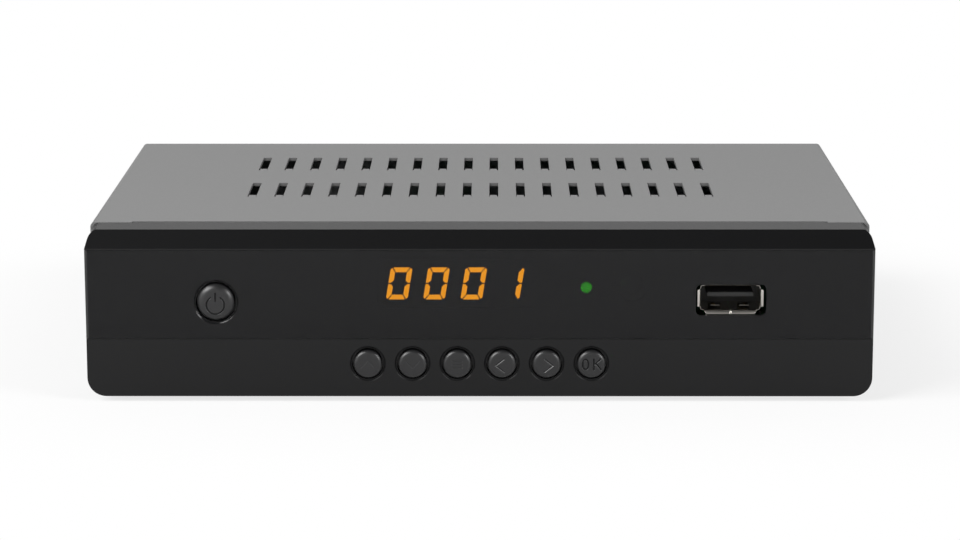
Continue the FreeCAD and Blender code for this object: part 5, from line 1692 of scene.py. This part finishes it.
# ---------------------------------------------------------------- studio
@dataclass(frozen=True)
class PaleFloor(Finish):
    """Pale paper sweep that keeps the shadow, and turns white away from the receiver.

    Attributes:
        half_size: Half of the receiver's width and depth in millimetres.
        white_mm: Distance from the receiver's outline at which it is as white as the background.
        white_near: How white it looks beside the receiver.
        fibre_mm: Width of the paper's fibres.
    """

    spread: float = 0.01
    half_size: Point = (83.0, 61.0)
    white_mm: float = 70.0
    white_near: float = 0.75
    fibre_mm: float = 1.0

    def shade(self, tree: Tree, place: Socket) -> Node:
        """Adds paper, and its own light where the eye looks at it, also through glass.

        Args:
            tree: The material's tree.
            place: The position on the floor, in metres.

        Returns:
            The shader node.
        """
        fibre = add_node(tree, "ShaderNodeTexNoise", sized(place, self.fibre_mm)).outputs["Fac"]
        tone = self.toned(tree, fibre)
        paper = add_node(tree, "ShaderNodeBsdfDiffuse", {"Color": tone, "Roughness": self.roughness})
        white = add_node(tree, "ShaderNodeEmission", {"Color": (1, 1, 1, 1), "Strength": 1.0})
        rays = add_node(tree, "ShaderNodeLightPath").outputs
        eye = {0: rays["Is Camera Ray"], 1: rays["Is Transmission Ray"]}
        looks = add_node(tree, "ShaderNodeMath", eye, operation="MAXIMUM").outputs[0]
        size = (self.half_size[0] * MM, self.half_size[1] * MM, 0)
        away = add_node(tree, "ShaderNodeVectorMath", {0: place}, operation="ABSOLUTE").outputs[0]
        beyond = add_node(tree, "ShaderNodeVectorMath", {0: away, 1: size}, operation="SUBTRACT").outputs[0]
        ahead = {0: beyond, 1: (0, 0, 0)}
        outside = add_node(tree, "ShaderNodeVectorMath", ahead, operation="MAXIMUM").outputs[0]
        distance = add_node(tree, "ShaderNodeVectorMath", {0: outside}, operation="LENGTH").outputs["Value"]
        reach = {"Value": distance, "From Max": self.white_mm * MM, "To Min": self.white_near}
        fade = add_node(tree, "ShaderNodeMapRange", reach, interpolation_type="SMOOTHSTEP").outputs[0]
        share = add_node(tree, "ShaderNodeMath", {0: looks, 1: fade}, operation="MULTIPLY").outputs[0]
        seen = add_node(tree, "ShaderNodeMixShader", {0: share, 1: paper.outputs[0], 2: white.outputs[0]})
        side = add_node(tree, "ShaderNodeNewGeometry").outputs["Backfacing"]
        clear = add_node(tree, "ShaderNodeBsdfTransparent").outputs[0]
        return add_node(tree, "ShaderNodeMixShader", {0: side, 1: seen.outputs[0], 2: clear})


@dataclass
class Softbox:
    """A soft lamp that looks at the receiver.

    Attributes:
        name: The lamp's name.
        turn_deg: Where it stands round the receiver, 0 being in front and 90 at its right.
        height_deg: How high it stands over the horizon.
        watts: Its power.
        width: Its width in metres.
        height: Its height in metres.
        distance: How far it is from the receiver, in metres.
    """

    name: str
    turn_deg: float
    height_deg: float
    watts: float
    width: float
    height: float
    distance: float = 1.2

    def build(self) -> None:
        """Adds the lamp."""
        turn, rise = math.radians(self.turn_deg), math.radians(self.height_deg)
        out = Vector((math.sin(turn) * math.cos(rise), -math.cos(turn) * math.cos(rise), math.sin(rise)))
        data = bpy.data.lights.new(self.name, "AREA")
        data.shape = "RECTANGLE"
        data.size = self.width
        data.size_y = self.height
        data.energy = self.watts
        lamp = bpy.data.objects.new(self.name, data)
        lamp.location = out * self.distance
        lamp.rotation_euler = out.to_track_quat("Z", "Y").to_euler()
        bpy.context.scene.collection.objects.link(lamp)


@dataclass
class Studio:
    """Camera, lamps, world and floor.

    Attributes:
        eye: Where the camera stands, in millimetres.
        pitch_deg: How far it looks down.
        yaw_deg: How far it turns to the left.
        roll_deg: How far it tips to its left.
        lens: Its focal length in millimetres.
        sensor: Width of its sensor in millimetres.
        floor_size: Width of the floor in metres.
        horizon: Strength of the room's light in front and behind, at the horizon.
        left_wall: Its strength at the left.
        right_wall: Its strength at the right.
        ceiling: Its strength overhead.
        wall_span: How far sideways a direction points where a wall begins and where it is full.
        ceiling_deg: How high a direction points where the ceiling begins and where it is full.
        lamps: The lamps.
    """

    eye: tuple[float, float, float] = (3.203, -709.945, 162.148)
    pitch_deg: float = 11.623
    yaw_deg: float = 0.274
    roll_deg: float = -0.05
    lens: float = 117.63
    sensor: float = 36.0
    floor_size: float = 12.0
    horizon: float = 0.85
    left_wall: float = 1.5
    right_wall: float = 1.15
    ceiling: float = 0.11
    wall_span: Point = (0.35, 0.9)
    ceiling_deg: Point = (20, 55)
    lamps: tuple[Softbox, ...] = (
        Softbox("left_softbox", turn_deg=-57, height_deg=41, watts=12.0, width=0.8, height=0.6),
        Softbox("right_softbox", turn_deg=57, height_deg=26, watts=5.0, width=0.45, height=0.45),
        Softbox("rear_softbox", turn_deg=180, height_deg=36, watts=0.9, width=0.9, height=0.3),
    )

    def camera(self) -> None:
        """Adds the camera."""
        data = bpy.data.cameras.new("camera")
        data.lens = self.lens
        data.sensor_width = self.sensor
        data.clip_start = 0.01
        camera = bpy.data.objects.new("camera", data)
        camera.location = Vector(self.eye) * MM
        turn = Euler((math.radians(90 - self.pitch_deg), 0, math.radians(self.yaw_deg))).to_matrix()
        roll = Matrix.Rotation(math.radians(self.roll_deg), 3, "Z")
        camera.rotation_euler = (turn @ roll).to_euler()
        bpy.context.scene.collection.objects.link(camera)
        bpy.context.scene.camera = camera

    def floor(self) -> None:
        """Adds the floor."""
        half = self.floor_size / 2
        made = bmesh.new()
        corners = [(-half, -half, 0), (half, -half, 0), (half, half, 0), (-half, half, 0)]
        made.faces.new([made.verts.new(corner) for corner in corners])
        mesh = bpy.data.meshes.new("floor")
        made.to_mesh(mesh)
        made.free()
        # Uncoated paper: matt and pale, so that a shadow stays soft on it.
        mesh.materials.append(PaleFloor("paper_sweep_pale", "#e6e6e6", 0.5).material())
        floor = bpy.data.objects.new("floor", mesh)
        bpy.context.scene.collection.objects.link(floor)

    def world(self) -> None:
        """Lights the scene from pale walls under a darker ceiling, on a white background."""
        world = bpy.data.worlds.new("studio")
        bpy.context.scene.world = world
        world.use_nodes = True
        tree = world.node_tree
        tree.nodes.clear()
        direction = add_node(tree, "ShaderNodeTexCoord").outputs["Generated"]
        parts = add_node(tree, "ShaderNodeSeparateXYZ", {0: direction}).outputs
        begin, full = self.wall_span
        low, high = (math.sin(math.radians(angle)) for angle in self.ceiling_deg)
        smooth = {"interpolation_type": "SMOOTHSTEP"}
        span = {"Value": parts["X"], "From Min": -full, "From Max": -begin}
        left = add_node(
            tree, "ShaderNodeMapRange", span | {"To Min": self.left_wall, "To Max": self.horizon}, **smooth
        )
        span = {"Value": parts["X"], "From Min": begin, "From Max": full}
        right = add_node(
            tree, "ShaderNodeMapRange", span | {"To Max": self.right_wall - self.horizon}, **smooth
        )
        walls = add_node(tree, "ShaderNodeMath", {0: left.outputs[0], 1: right.outputs[0]}, operation="ADD")
        span = {"Value": parts["Z"], "From Min": low, "From Max": high}
        rise = add_node(
            tree, "ShaderNodeMapRange", span | {"To Min": walls.outputs[0], "To Max": self.ceiling}, **smooth
        )
        room = add_node(tree, "ShaderNodeBackground", {"Strength": rise.outputs[0]})
        white = add_node(tree, "ShaderNodeBackground", {"Color": (1, 1, 1, 1), "Strength": 1.0})
        rays = add_node(tree, "ShaderNodeLightPath").outputs
        eye = {0: rays["Is Camera Ray"], 1: rays["Is Transmission Ray"]}
        looks = add_node(tree, "ShaderNodeMath", eye, operation="MAXIMUM").outputs[0]
        seen = add_node(tree, "ShaderNodeMixShader", {0: looks, 1: room.outputs[0], 2: white.outputs[0]})
        add_node(tree, "ShaderNodeOutputWorld", {"Surface": seen.outputs[0]})

    def build(self) -> None:
        """Sets up the whole studio."""
        bpy.context.scene.view_settings.view_transform = "Standard"
        self.camera()
        self.floor()
        self.world()
        for lamp in self.lamps:
            lamp.build()


def main() -> None:
    """Builds the studio and each sub-assembly in order."""
    logging.basicConfig(level=logging.INFO, format="%(name)s: %(message)s")
    Studio().build()
    front = (FrontPanel(), KeyPad(), Display(), DataSocket())
    rear = (Case(), Boards(), AerialSockets(), RearSockets())
    for group in front + rear:
        LOG.info("group %s", type(group).__name__)
        group.build()
        group.dress()


if __name__ == "__main__":
    main()
